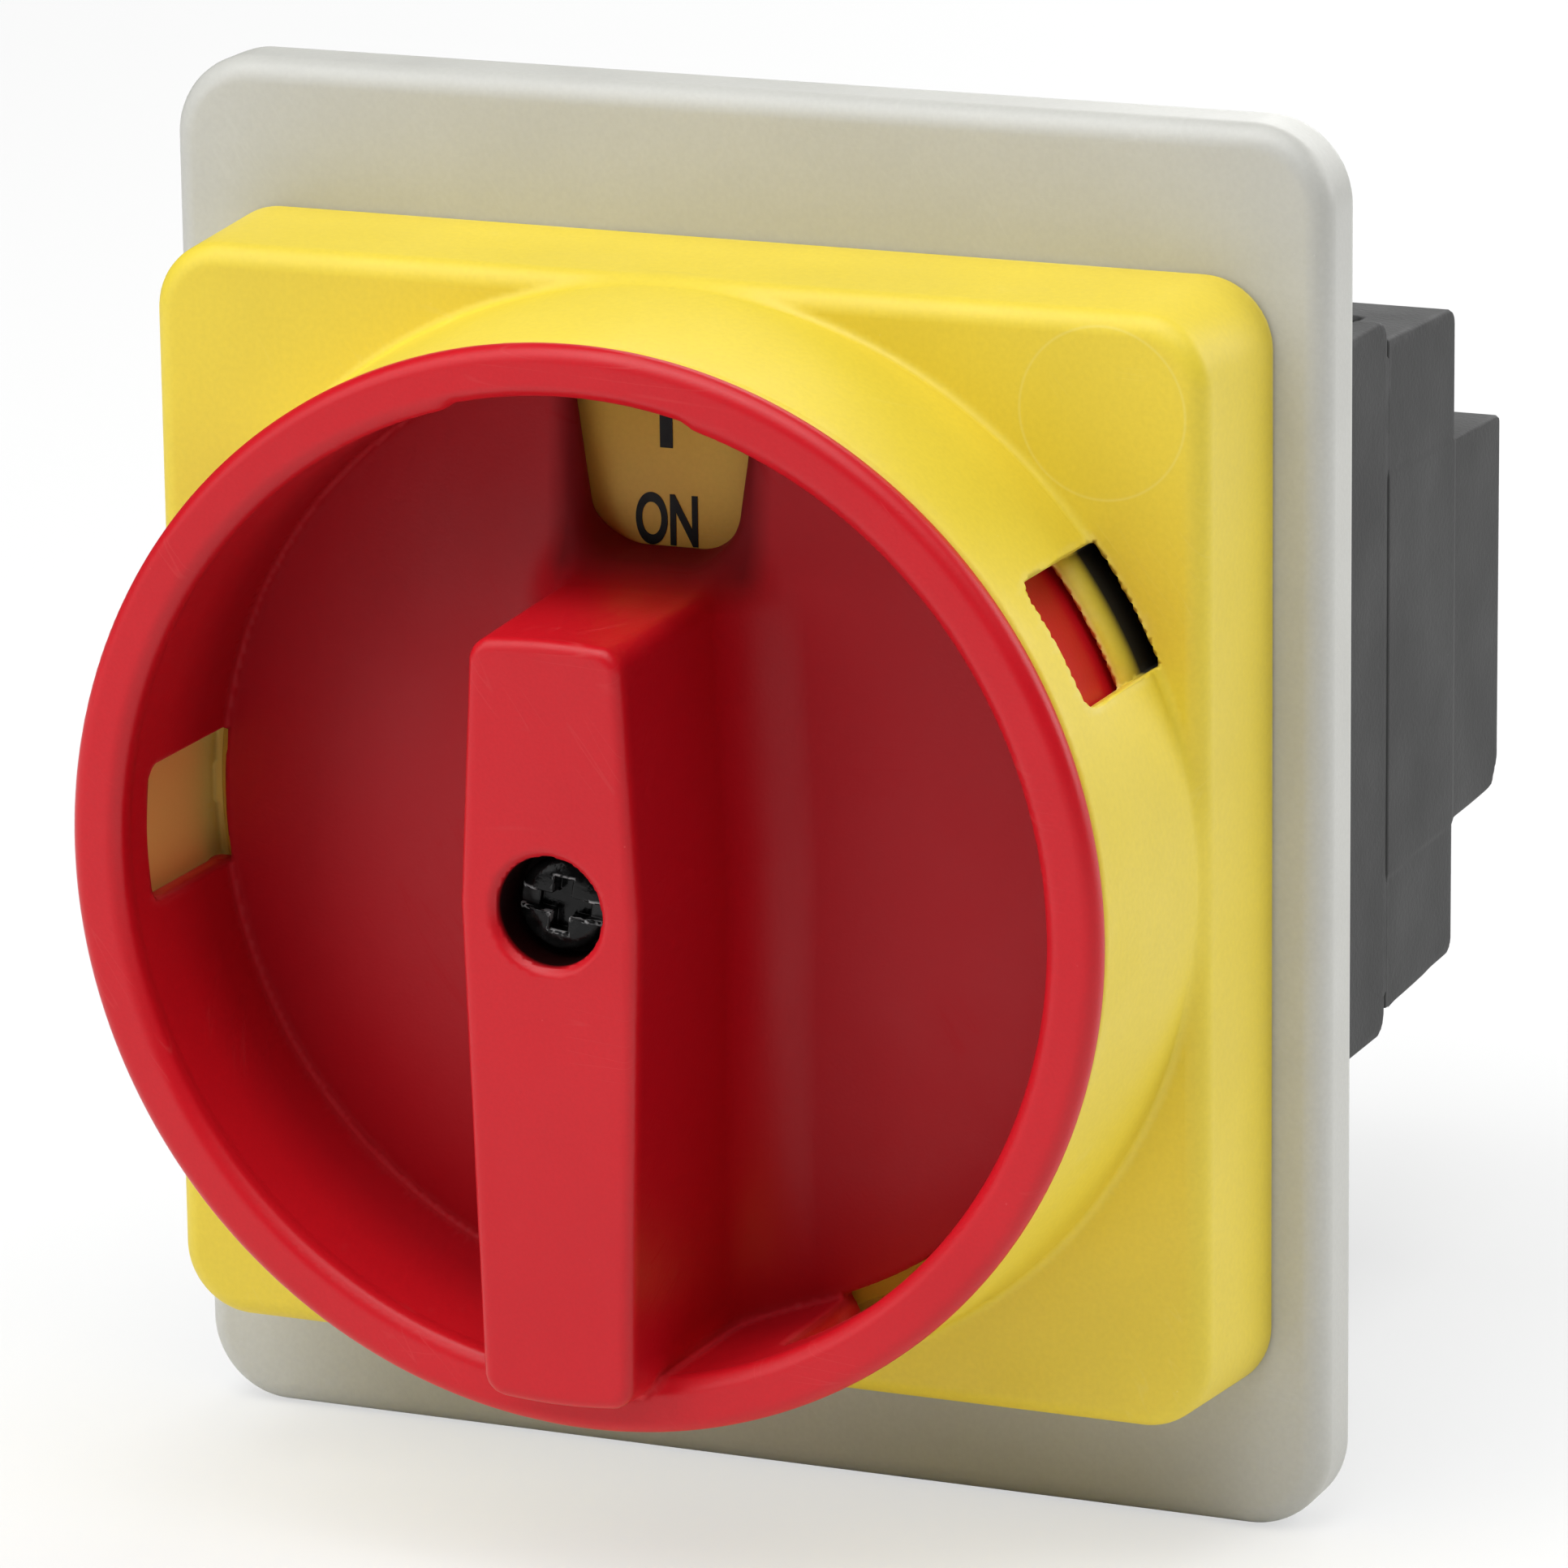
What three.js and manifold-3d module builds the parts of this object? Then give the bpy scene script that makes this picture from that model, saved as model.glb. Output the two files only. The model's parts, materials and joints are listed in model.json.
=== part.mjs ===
// Rotary isolator switch for panel mounting, in millimetres.
// +X is to the right and +Z is up, as seen by someone facing the handle. +Y points into the cabinet.
// The origin is on the shaft's axis, in the plane where the cover plate's back meets the panel.
import * as THREE from "three";
import { mergeVertices } from "three/addons/utils/BufferGeometryUtils.js";
import { ConvexGeometry } from "three/addons/geometries/ConvexGeometry.js";
import Module from "manifold-3d";

const wasm = await Module();
wasm.setup();

// ---------------------------------------------------------------- driving dimensions

const GAP = 0.1; // between fixed pieces that rest on each other
const PLAY = 0.3; // between pieces that move past each other
const FAR = 60; // reaches past everything a cutter has to pass through
const ROUND = 36; // sides of a large circle
const FINE = 12; // sides of a small circle

// Cover plate, the grey frame against the panel
const PLATE = { width: 73.2, height: 84.2, corner: 5, front: -4.4, back: 0, edge: 1.3, hole: 12 };
const GASKET = { inset: 4, width: 2.4, depth: 1, play: 0.15 };
const PANEL_GAP = 2.1; // room for a 2 mm sheet between the cover plate and the latch housing

// Escutcheon, the yellow square with the padlock collar
const ESCUTCHEON = {
  side: 66, corner: 3.6, front: -14.7, wall: 2, edge: 1.1, floor: -13, hole: 8, draft: 0.0014,
};
const COLLAR = { baseRadius: 32.6, tipRadius: 31.7, boreRadius: 30.6, tip: -26.9 };
const COLLAR_SLOT = { angles: [30, 150, 270], width: 8, front: -23.6, back: -15.6 };
const SHUT_OFF = { inner: 31.4, outer: 32.7 }; // hole in the plate under each collar slot
const DIAL = { radius: 29.8, thickness: 0.7, hole: 8 };
const PLATE_SCREW = { x: 21, z: 14, shank: 1.6, head: 3, headDepth: 2, end: 9, boss: 4 };

// Handle, the red cup with the grip bar across it
const KNOB = {
  rimRadius: 32, rimFront: -29.2, rimBack: -27.2, bore: 28.8, wallRadius: 30.2,
  floorFront: -15.5, floorBack: -14.2, hubRadius: 7, hubBack: -7, noseRadius: 5.2, noseBack: -0.6,
};
const GRIP = {
  front: -32.6, top: 15.9, bottom: -29.4, waist: 5.5, tip: 4.6, draft: 0.5, edge: 0.5,
  foot: 4, shoulder: 5,
};
const WINDOW = { halfWidth: 5.4, mouthHalfWidth: 7, bottom: 17.4, front: -22.5, mouthBottom: 16.5 };
const KNOB_SLOT = { angles: [180, -60, 60], width: 8.2, front: -25.3 };
const HANDLE_SCREW = { recess: 3.1, head: 2.75, face: -30.7, headDepth: 2, shank: 1.7, end: -15 };

// Shaft and rotor, which turn with the handle
const SHAFT = { side: 5, front: -26, back: 26, tapRadius: 2 };
const SOCKET = SHAFT.side + PLAY;
const STAR = { front: 7, back: 13, flat: 6.5, corner: 8 };
const CAM = { journal: 5, journalFront: 13.3, front: 20.4, low: 22.3, radius: 10.5, bore: 6, boss: 4.8 };
const RAMP = { start: 22.9, travel: 3, sweep: 90, lead: 11, steps: 10 };
const STOP = { outer: 12.5, halfAngle: 7, rest: -90, inner: 10.9, slack: 1.6, width: 13 };

// Housings behind the panel
const BODY = { halfWidth: 26.8, corner: 2, height: 22.8 };
const LATCH = { front: PANEL_GAP, back: 18, wall: 2.5, cavityX: 22, cavityZ: 11, neck: 11, neckFront: -3 };
const SEAL = { inner: 5.45, outer: 7.7, front: -2.8, back: -0.7, pocket: 8 };
const CAM_HOUSING = { back: 34, wallBack: 20.1, cavity: 13.2, drumBack: 27, cavityX: 24.9, cavityZ: 9 };
const DECK = { front: 34, shoulder: 47, shoulderHeight: 20.9, back: 55.7, backHeight: 12.2 };
const SCALLOP = { halfWidth: 5.2, front: 27 }; // drops the rear edge of the block between its ribs
const TIE = { x: 13, z: 16.5, shank: 1.2, head: 2.4, headFront: 44.6, headBack: 46.4, end: 14 };

// Poles: a line terminal above, a load terminal below and a spring-loaded bridge between them
const POLE_X = [-19.5, -6.5, 6.5, 19.5];
const CHAMBER = { halfWidth: 4.4, height: 10.2, front: 40.4, back: 54.4 };
const BAR = { halfWidth: 3, front: 41, thickness: 1.2, inner: 5.6, outer: 19.5 };
const SEAT = { front: 40.7, inner: 14, outer: 19, halfWidth: 2.9 }; // where the wire is clamped to a bar
const PAD = { z: 7.5, side: 3, thickness: 0.7 }; // the contact faces on the bars and bridges
const CLAMP = { halfWidth: 4, wall: 0.8, front: 35.3, back: 44, plate: 1, inner: 13.5, outer: 19.5 };
const CLAMP_ROOM = { halfWidth: 4.3, front: 35, back: 44.3, inner: 13.2, outer: 19.8 };
const WIRE_WAY = { halfWidth: 3.1, front: 36.4, back: 41 };
const TERMINAL_SCREW = {
  z: 16.5, shank: 1.35, hole: 1.6, tip: 42.35, head: 2.7, headFront: 44.6, headBack: 46.5,
};
const BRIDGE = { halfWidth: 2.8, half: 9.3, front: 43.6, thickness: 1.2, padFront: 43 };
const PUSHER = { halfWidth: 2.4, halfHeight: 3.9, tip: 43.3 };
const CARRIAGE = { halfWidth: 24.5, halfHeight: 8.6, front: 27.8, back: 30.6 };
const SPRING = { radius: 2.5, wire: 0.36, front: 45, back: 54.2, turns: 4, stepsPerTurn: 8 };
const LEAF = { thickness: 0.5, flat: 6, knee: 11, end: 17, rise: 10.4, front: 7.6, back: 12.4 };

// ---------------------------------------------------------------- materials

const paint = (color, roughness, metalness = 0) =>
  new THREE.MeshStandardMaterial({ color, roughness, metalness });
const MATERIAL = {
  grey: paint(0xc6c6bc, 0.5),
  yellow: paint(0xe8d23e, 0.5),
  dial: paint(0xe3c95a, 0.55),
  red: paint(0xc4242c, 0.45),
  body: paint(0x4a4a4a, 0.7),
  dark: paint(0x2b2b2c, 0.6),
  white: paint(0xd9d6cc, 0.55),
  rubber: paint(0x1b1b1b, 0.9),
  steel: paint(0xa9adb2, 0.35, 1),
  black: paint(0x111214, 0.3, 0.6),
  copper: paint(0xb87345, 0.4, 1),
  brass: paint(0xc9a85a, 0.4, 1),
};

// ---------------------------------------------------------------- solids from three.js geometry

function solid(geometry) {
  const bare = geometry.clone();
  bare.deleteAttribute("normal");
  bare.deleteAttribute("uv");
  const merged = mergeVertices(bare, 1e-4);
  const triVerts = new Uint32Array(merged.index.array);
  const build = () =>
    new wasm.Manifold(
      new wasm.Mesh({ numProp: 3, vertProperties: merged.attributes.position.array, triVerts }),
    );
  const made = build();
  if (made.volume() > 0) return made;
  for (let i = 0; i < triVerts.length; i += 3) {
    [triVerts[i + 1], triVerts[i + 2]] = [triVerts[i + 2], triVerts[i + 1]];
  }
  return build();
}

const join = (...parts) => parts.reduce((whole, part) => whole.add(part));
const cut = (body, ...tools) => tools.reduce((rest, tool) => rest.subtract(tool), body);

function mesh(name, shape, material) {
  const { vertProperties, triVerts } = shape.getMesh();
  const geometry = new THREE.BufferGeometry();
  geometry.setAttribute("position", new THREE.BufferAttribute(vertProperties, 3));
  geometry.setIndex(new THREE.BufferAttribute(triVerts, 1));
  geometry.computeVertexNormals();
  const made = new THREE.Mesh(geometry, material);
  made.name = name;
  return made;
}

// A box given by its lowest and highest coordinate on each axis.
function box([x0, x1], [y0, y1], [z0, z1]) {
  const geometry = new THREE.BoxGeometry(x1 - x0, y1 - y0, z1 - z0);
  return solid(geometry.translate((x0 + x1) / 2, (y0 + y1) / 2, (z0 + z1) / 2));
}

// A cylinder along Y, with its axis through (x, z).
function rod(radius, front, back, x = 0, z = 0, sides = FINE) {
  const geometry = new THREE.CylinderGeometry(radius, radius, back - front, sides);
  return solid(geometry.translate(x, (front + back) / 2, z));
}

// A body of revolution about the shaft's axis, from [radius, y] points.
function turned(points, sides = ROUND) {
  const profile = points.map(([radius, y]) => new THREE.Vector2(radius, y));
  return solid(new THREE.LatheGeometry(profile, sides));
}

// An outline in X and Z, given depth from front to back along Y. With draft it widens towards the back.
function slab(shape, front, back, { draft = 0, ...options } = {}) {
  const geometry = new THREE.ExtrudeGeometry(shape, {
    depth: back - front, bevelEnabled: false, curveSegments: 5, ...options,
  });
  geometry.rotateX(Math.PI / 2).translate(0, back, 0);
  const points = geometry.attributes.position;
  for (let i = 0; i < points.count; i += 1) {
    const scale = 1 + draft * (points.getY(i) - front);
    points.setXYZ(i, points.getX(i) * scale, points.getY(i), points.getZ(i) * scale);
  }
  return solid(geometry);
}

function roundedRectangle(halfWidth, halfHeight, radius) {
  const shape = new THREE.Shape();
  const [x, y] = [halfWidth - radius, halfHeight - radius];
  shape.absarc(x, y, radius, 0, Math.PI / 2);
  shape.absarc(-x, y, radius, Math.PI / 2, Math.PI);
  shape.absarc(-x, -y, radius, Math.PI, Math.PI * 1.5);
  shape.absarc(x, -y, radius, Math.PI * 1.5, Math.PI * 2);
  shape.closePath();
  return shape;
}

// A rounded block whose front edges are softened and whose back is cut flat.
function moulding(halfWidth, halfHeight, corner, front, back, edge, draft = 0) {
  const inner = roundedRectangle(halfWidth - edge, halfHeight - edge, corner - edge);
  const soft = slab(inner, front + edge, back + edge, {
    bevelEnabled: true, bevelThickness: edge, bevelSize: edge, bevelSegments: 2, draft,
  });
  return soft.subtract(box([-FAR, FAR], [back, FAR], [-FAR, FAR]));
}

// Turns a solid about the shaft's axis, anticlockwise as seen from the front.
const spin = (shape, degrees) => shape.rotate([0, -degrees, 0]);

// Ranges for box(): one centred on a value, and one on the side of the middle that a sign gives.
const around = (middle, half) => [middle - half, middle + half];
const mirrored = (side, low, high) => (side > 0 ? [low, high] : [-high, -low]);

// A box that starts on the +X side and is turned to an angle about the shaft.
const radialBox = (degrees, radii, depths, width) =>
  spin(box(radii, depths, [-width / 2, width / 2]), degrees);

const eachCorner = (x, z, make) =>
  [[x, z], [-x, z], [-x, -z], [x, -z]].map(([cx, cz], i) => make(cx, cz, i + 1));

// ---------------------------------------------------------------- front of panel

function coverPlate() {
  const { width, height, corner, front, back, edge } = PLATE;
  const body = moulding(width / 2, height / 2, corner, front, back, edge);
  const holes = eachCorner(PLATE_SCREW.x, PLATE_SCREW.z, (x, z) => rod(2, -FAR, FAR, x, z));
  return cut(body, rod(PLATE.hole, -FAR, FAR, 0, 0, ROUND), gasketRing(0), ...holes);
}

// The gasket's frame-shaped outline, or with no play the groove that it lies in.
function gasketRing(play) {
  const halfX = PLATE.width / 2 - GASKET.inset - play;
  const halfZ = PLATE.height / 2 - GASKET.inset - play;
  const band = GASKET.width - 2 * play;
  const ring = roundedRectangle(halfX, halfZ, 3);
  ring.holes.push(roundedRectangle(halfX - band, halfZ - band, 1.5));
  const back = play ? -play / 2 : 1;
  return slab(ring, -GASKET.depth + play, back, { curveSegments: 3 });
}

function escutcheon() {
  const half = ESCUTCHEON.side / 2;
  const back = PLATE.front - GAP;
  const { corner, front, edge, draft } = ESCUTCHEON;
  const skin = moulding(half, half, corner, front, back, edge, draft);
  const inside = roundedRectangle(half - ESCUTCHEON.wall, half - ESCUTCHEON.wall, 1.6);
  const hollow = slab(inside, ESCUTCHEON.front + ESCUTCHEON.wall, FAR);
  const floorBack = ESCUTCHEON.floor + ESCUTCHEON.wall;
  const floor = rod(half - 1, ESCUTCHEON.floor, floorBack, 0, 0, ROUND);
  const collar = turned([
    [COLLAR.boreRadius, floorBack], [COLLAR.baseRadius, ESCUTCHEON.front + 0.5],
    [COLLAR.baseRadius, ESCUTCHEON.front], [COLLAR.tipRadius, COLLAR.tip + 0.5],
    [COLLAR.tipRadius - 0.4, COLLAR.tip], [COLLAR.boreRadius, COLLAR.tip],
    [COLLAR.boreRadius, floorBack],
  ]);
  const well = rod(COLLAR.boreRadius, -FAR, ESCUTCHEON.floor, 0, 0, ROUND);
  const bosses = eachCorner(PLATE_SCREW.x, PLATE_SCREW.z, (x, z) =>
    rod(PLATE_SCREW.boss, floorBack - 0.5, back, x, z));
  const sinks = eachCorner(PLATE_SCREW.x, PLATE_SCREW.z, (x, z) =>
    rod(PLATE_SCREW.head + PLAY, -FAR, ESCUTCHEON.floor + PLATE_SCREW.headDepth + 0.2, x, z));
  const holes = eachCorner(PLATE_SCREW.x, PLATE_SCREW.z, (x, z) => rod(2, -FAR, FAR, x, z));
  const slotDepth = [COLLAR_SLOT.front, COLLAR_SLOT.back];
  const dropDepth = [COLLAR_SLOT.back - 1, floorBack + 1];
  const slots = COLLAR_SLOT.angles.flatMap((angle) => [
    radialBox(angle, [29, 36], slotDepth, COLLAR_SLOT.width),
    radialBox(angle, [SHUT_OFF.inner, SHUT_OFF.outer], dropDepth, COLLAR_SLOT.width),
  ]);
  const shell = join(cut(skin, hollow, well), collar, floor, ...bosses);
  return cut(shell, rod(ESCUTCHEON.hole, -FAR, FAR), ...sinks, ...holes, ...slots);
}

function dialDisc() {
  const back = ESCUTCHEON.floor - GAP / 2;
  const disc = rod(DIAL.radius, back - DIAL.thickness, back, 0, 0, ROUND);
  return disc.subtract(rod(DIAL.hole, -FAR, FAR));
}

function plateScrew(x, z) {
  const seat = ESCUTCHEON.floor + PLATE_SCREW.headDepth;
  const head = rod(PLATE_SCREW.head, ESCUTCHEON.floor + GAP, seat, x, z);
  const drive = rod(1.2, ESCUTCHEON.floor, ESCUTCHEON.floor + 1.1, x, z, 6);
  return join(head.subtract(drive), rod(PLATE_SCREW.shank, seat - 0.5, PLATE_SCREW.end, x, z, 12));
}

// ---------------------------------------------------------------- handle

// The grip bar: a long hexagon, widest at its waist, with a little draft towards the cup's floor.
function gripBar() {
  const points = [];
  const ring = (y, spread) => {
    const ends = [GRIP.top + spread / 2, GRIP.bottom - spread / 3].map((z) => [z, GRIP.tip + spread]);
    for (const [z, halfWidth] of [...ends, [0, GRIP.waist + spread]]) {
      points.push(new THREE.Vector3(halfWidth, y, z), new THREE.Vector3(-halfWidth, y, z));
    }
  };
  ring(GRIP.front, -GRIP.edge);
  ring(GRIP.front + GRIP.edge, 0);
  ring(KNOB.floorBack, GRIP.draft);
  return solid(new ConvexGeometry(points));
}

// The raised spine under the grip, which runs across the whole cup.
function gripFoot() {
  const outline = new THREE.Shape();
  const width = GRIP.waist + GRIP.draft;
  const height = -KNOB.floorFront + GRIP.foot;
  const bend = -KNOB.floorFront + 0.6;
  outline.moveTo(-width - GRIP.shoulder, -KNOB.floorBack);
  outline.lineTo(-width - GRIP.shoulder, -KNOB.floorFront);
  outline.quadraticCurveTo(-width - 0.6, bend, -width, height);
  outline.lineTo(width, height);
  outline.quadraticCurveTo(width + 0.6, bend, width + GRIP.shoulder, -KNOB.floorFront);
  outline.lineTo(width + GRIP.shoulder, -KNOB.floorBack);
  outline.closePath();
  const geometry = new THREE.ExtrudeGeometry(outline, {
    depth: 2 * FAR, bevelEnabled: false, curveSegments: 4,
  });
  // The outline's height becomes -Y and its depth becomes Z.
  const matrix = new THREE.Matrix4().set(1, 0, 0, 0, 0, -1, 0, 0, 0, 0, 1, -FAR, 0, 0, 0, 1);
  return solid(geometry.applyMatrix4(matrix));
}

// The pocket above the grip, which opens on the dial.
function dialWindow() {
  const points = [];
  const ring = (y, halfWidth, bottom) => {
    for (const z of [bottom, FAR]) {
      points.push(new THREE.Vector3(halfWidth, y, z), new THREE.Vector3(-halfWidth, y, z));
    }
  };
  ring(KNOB.floorBack + 1, WINDOW.halfWidth, WINDOW.bottom);
  ring(KNOB.floorFront, WINDOW.halfWidth, WINDOW.bottom);
  ring(WINDOW.front, WINDOW.mouthHalfWidth, WINDOW.mouthBottom);
  ring(-FAR, WINDOW.mouthHalfWidth, WINDOW.mouthBottom);
  const reach = rod(KNOB.bore, -FAR, FAR, 0, 0, ROUND);
  return solid(new ConvexGeometry(points)).intersect(reach);
}

function handleKnob() {
  const cup = turned([
    [0, KNOB.floorBack], [KNOB.wallRadius, KNOB.floorBack], [KNOB.wallRadius, KNOB.rimBack],
    [KNOB.rimRadius - 0.4, KNOB.rimBack], [KNOB.rimRadius, KNOB.rimBack - 0.5],
    [KNOB.rimRadius, KNOB.rimFront + 0.7], [KNOB.rimRadius - 0.7, KNOB.rimFront],
    [KNOB.bore + 0.6, KNOB.rimFront], [KNOB.bore, KNOB.rimFront + 0.6],
    [KNOB.bore, KNOB.floorFront], [0, KNOB.floorFront],
  ]);
  const inWall = rod(KNOB.wallRadius - 0.2, -FAR, KNOB.floorBack, 0, 0, ROUND);
  const spine = gripFoot().intersect(inWall);
  const proud = rod(KNOB.wallRadius, -FAR, KNOB.floorBack, 0, 0, ROUND);
  const grip = gripBar().intersect(proud);
  const hub = rod(KNOB.hubRadius, KNOB.floorBack - 1, KNOB.hubBack, 0, 0, 32);
  const nose = rod(KNOB.noseRadius, KNOB.hubBack - 1, KNOB.noseBack, 0, 0, 32);
  const slots = KNOB_SLOT.angles.map((angle) =>
    radialBox(angle, [KNOB.bore - 0.6, FAR], [KNOB_SLOT.front, KNOB.floorFront], KNOB_SLOT.width));
  const recess = rod(HANDLE_SCREW.recess, -FAR, HANDLE_SCREW.face + HANDLE_SCREW.headDepth + 0.2, 0, 0, 24);
  return cut(
    join(cup, spine, grip, hub, nose),
    dialWindow(), ...slots, recess,
    rod(HANDLE_SCREW.shank + PLAY, -FAR, FAR),
    squareBar(SOCKET, SHAFT.front - PLAY, FAR),
  );
}

const squareBar = (side, front, back) =>
  box([-side / 2, side / 2], [front, back], [-side / 2, side / 2]);

function handleScrew() {
  const seat = HANDLE_SCREW.face + HANDLE_SCREW.headDepth;
  const head = turned([
    [0, HANDLE_SCREW.face], [HANDLE_SCREW.head * 0.6, HANDLE_SCREW.face + 0.15],
    [HANDLE_SCREW.head, HANDLE_SCREW.face + 0.7], [HANDLE_SCREW.head, seat], [0, seat],
  ], 24);
  const driver = HANDLE_SCREW.face + 1;
  const slot = box([-FAR, FAR], [-FAR, driver - 0.3], [-0.4, 0.4]);
  const cross = join(
    box([-1.5, 1.5], [-FAR, driver], [-0.35, 0.35]),
    box([-0.35, 0.35], [-FAR, driver], [-1.5, 1.5]),
  );
  return join(cut(head, slot, cross), rod(HANDLE_SCREW.shank, seat - 0.4, HANDLE_SCREW.end, 0, 0, 16));
}

// ---------------------------------------------------------------- rotor

function driveShaft() {
  const tap = rod(SHAFT.tapRadius, SHAFT.front - 1, HANDLE_SCREW.end + 1);
  return squareBar(SHAFT.side, SHAFT.front, SHAFT.back).subtract(tap);
}

function detentStar() {
  const flats = box([-STAR.flat, STAR.flat], [STAR.front, STAR.back], [-STAR.flat, STAR.flat]);
  const round = rod(STAR.corner, STAR.front, STAR.back, 0, 0, ROUND);
  return cut(flats.intersect(round), squareBar(SOCKET, -FAR, FAR));
}

// The height of the cam's working face, at an angle behind the follower's rest position.
const rampHeight = (behind) => RAMP.start + (RAMP.travel * behind) / RAMP.sweep;

// One helical ramp, whose low end is under the follower at the handle's rest position.
function camRamp(followerAngle) {
  const [first, last] = [followerAngle + RAMP.lead, followerAngle - RAMP.sweep - RAMP.lead];
  const radians = (degrees) => (degrees * Math.PI) / 180;
  const sector = new THREE.Shape();
  sector.absarc(0, 0, CAM.radius, radians(last), radians(first), false);
  sector.absarc(0, 0, CAM.bore, radians(first), radians(last), true);
  sector.closePath();
  const geometry = new THREE.ExtrudeGeometry(sector, {
    depth: 1, bevelEnabled: false, curveSegments: RAMP.steps,
  });
  const points = geometry.attributes.position;
  for (let i = 0; i < points.count; i += 1) {
    const [x, z] = [points.getX(i), points.getY(i)];
    const angle = (Math.atan2(z, x) * 180) / Math.PI;
    const turns = Math.round((followerAngle - RAMP.sweep / 2 - angle) / 360);
    const behind = followerAngle - (angle + 360 * turns);
    const y = points.getZ(i) > 0.5 ? rampHeight(behind) : CAM.low - 1;
    points.setXYZ(i, x, y, z);
  }
  return solid(geometry);
}

function rotorCam() {
  const drum = rod(CAM.radius, CAM.front, CAM.low, 0, 0, ROUND);
  const journal = rod(CAM.journal, CAM.journalFront, CAM.front + 1, 0, 0, 32);
  const boss = rod(CAM.boss, CAM.front, SHAFT.back + PLAY, 0, 0, 24);
  const width = 2 * STOP.outer * Math.sin((STOP.halfAngle * Math.PI) / 180);
  const lug = radialBox(STOP.rest, [CAM.bore, STOP.outer], [CAM.front, CAM.low], width);
  const ramps = [0, 180].map(camRamp);
  return cut(join(drum, journal, boss, lug, ...ramps), squareBar(SOCKET, -FAR, FAR));
}

// ---------------------------------------------------------------- housings

const bodyOutline = () => roundedRectangle(BODY.halfWidth, BODY.height, BODY.corner);

function latchHousing() {
  const block = slab(bodyOutline(), LATCH.front, LATCH.back);
  const neck = rod(LATCH.neck, LATCH.neckFront, LATCH.front + 1, 0, 0, ROUND);
  const depth = [LATCH.front + LATCH.wall, FAR];
  const cavity = box(around(0, LATCH.cavityX), depth, around(0, LATCH.cavityZ));
  const pocket = rod(SEAL.pocket, -FAR, SEAL.back + 0.2, 0, 0, 32);
  const bore = rod(KNOB.noseRadius + PLAY, -FAR, FAR, 0, 0, 32);
  const screws = eachCorner(PLATE_SCREW.x, PLATE_SCREW.z, (x, z) =>
    rod(PLATE_SCREW.shank + GAP, -FAR, PLATE_SCREW.end + 1, x, z, 12));
  return cut(join(block, neck), cavity, pocket, bore, ...screws, ...tieHoles(TIE.end - 1));
}

const tieHoles = (front) =>
  eachCorner(TIE.x, TIE.z, (x, z) => rod(TIE.shank + 0.2, front, FAR, x, z, 12));

function shaftSeal() {
  const lip = (SEAL.front + SEAL.back) / 2;
  return turned([
    [SEAL.inner + 0.5, SEAL.front], [SEAL.outer, SEAL.front], [SEAL.outer, SEAL.back],
    [SEAL.inner + 0.5, SEAL.back], [SEAL.inner, lip], [SEAL.inner + 0.5, SEAL.front],
  ], 32);
}

// A leaf spring that lies on one flat of the star. Its ends bear on the cavity's wall.
function leafSpring(side) {
  const near = STAR.flat + PLAY;
  const t = LEAF.thickness;
  const outline = new THREE.Shape();
  const inner = [[-LEAF.end, LEAF.rise], [-LEAF.knee, near + 1], [-LEAF.flat, near], [LEAF.flat, near],
    [LEAF.knee, near + 1], [LEAF.end, LEAF.rise]];
  const outer = inner.map(([x, z]) => [x, z + t]).reverse();
  outline.setFromPoints([...inner, ...outer].map(([x, z]) => new THREE.Vector2(x, side * z)));
  return slab(outline, LEAF.front, LEAF.back);
}

function camHousing() {
  const front = LATCH.back + GAP;
  const block = slab(bodyOutline(), front, CAM_HOUSING.back);
  const drumRoom = rod(CAM_HOUSING.cavity, CAM_HOUSING.wallBack, CAM_HOUSING.drumBack + 1, 0, 0, ROUND);
  const depth = [CAM_HOUSING.drumBack, FAR];
  const carriageRoom = box(around(0, CAM_HOUSING.cavityX), depth, around(0, CAM_HOUSING.cavityZ));
  const bore = rod(CAM.journal + PLAY, -FAR, FAR, 0, 0, 32);
  const stops = [
    STOP.rest - STOP.halfAngle - STOP.slack - STOP.width / 2,
    STOP.rest + RAMP.sweep + STOP.halfAngle + STOP.slack + STOP.width / 2,
  ].map((angle) => {
    const width = 2 * STOP.outer * Math.sin((STOP.width * Math.PI) / 360);
    const radii = [STOP.inner, CAM_HOUSING.cavity + 1];
    return radialBox(angle, radii, [CAM_HOUSING.wallBack - 1, CAM.low], width);
  });
  // Between the side walls and the ribs, the rear top and bottom edges drop to the deck's height.
  const scallops = [1, -1].flatMap((side) => POLE_X.map((x) =>
    box(around(x, SCALLOP.halfWidth), [SCALLOP.front, FAR], mirrored(side, DECK.shoulderHeight, FAR))));
  const hollow = cut(block, drumRoom, carriageRoom, bore, ...tieHoles(-FAR), ...scallops);
  return join(hollow, ...stops);
}

function contactHousing() {
  const front = DECK.front + GAP;
  const tall = slab(roundedRectangle(BODY.halfWidth, DECK.shoulderHeight, 1.2), front, DECK.shoulder);
  const low = slab(roundedRectangle(BODY.halfWidth, DECK.backHeight, 1.2), front, DECK.back);
  const tools = POLE_X.flatMap((x) => [
    box(around(x, CHAMBER.halfWidth), [CHAMBER.front, CHAMBER.back], around(0, CHAMBER.height)),
    box(around(x, PUSHER.halfWidth + PLAY), [-FAR, CHAMBER.front + 1], around(0, PUSHER.halfHeight + PLAY)),
    ...[1, -1].flatMap((side) => terminalRooms(x, side)),
  ]);
  const sinks = eachCorner(TIE.x, TIE.z, (x, z) => rod(TIE.head + 0.2, TIE.headFront - GAP, FAR, x, z, 16));
  return cut(join(tall, low), ...tools, ...tieHoles(-FAR), ...sinks);
}

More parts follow.
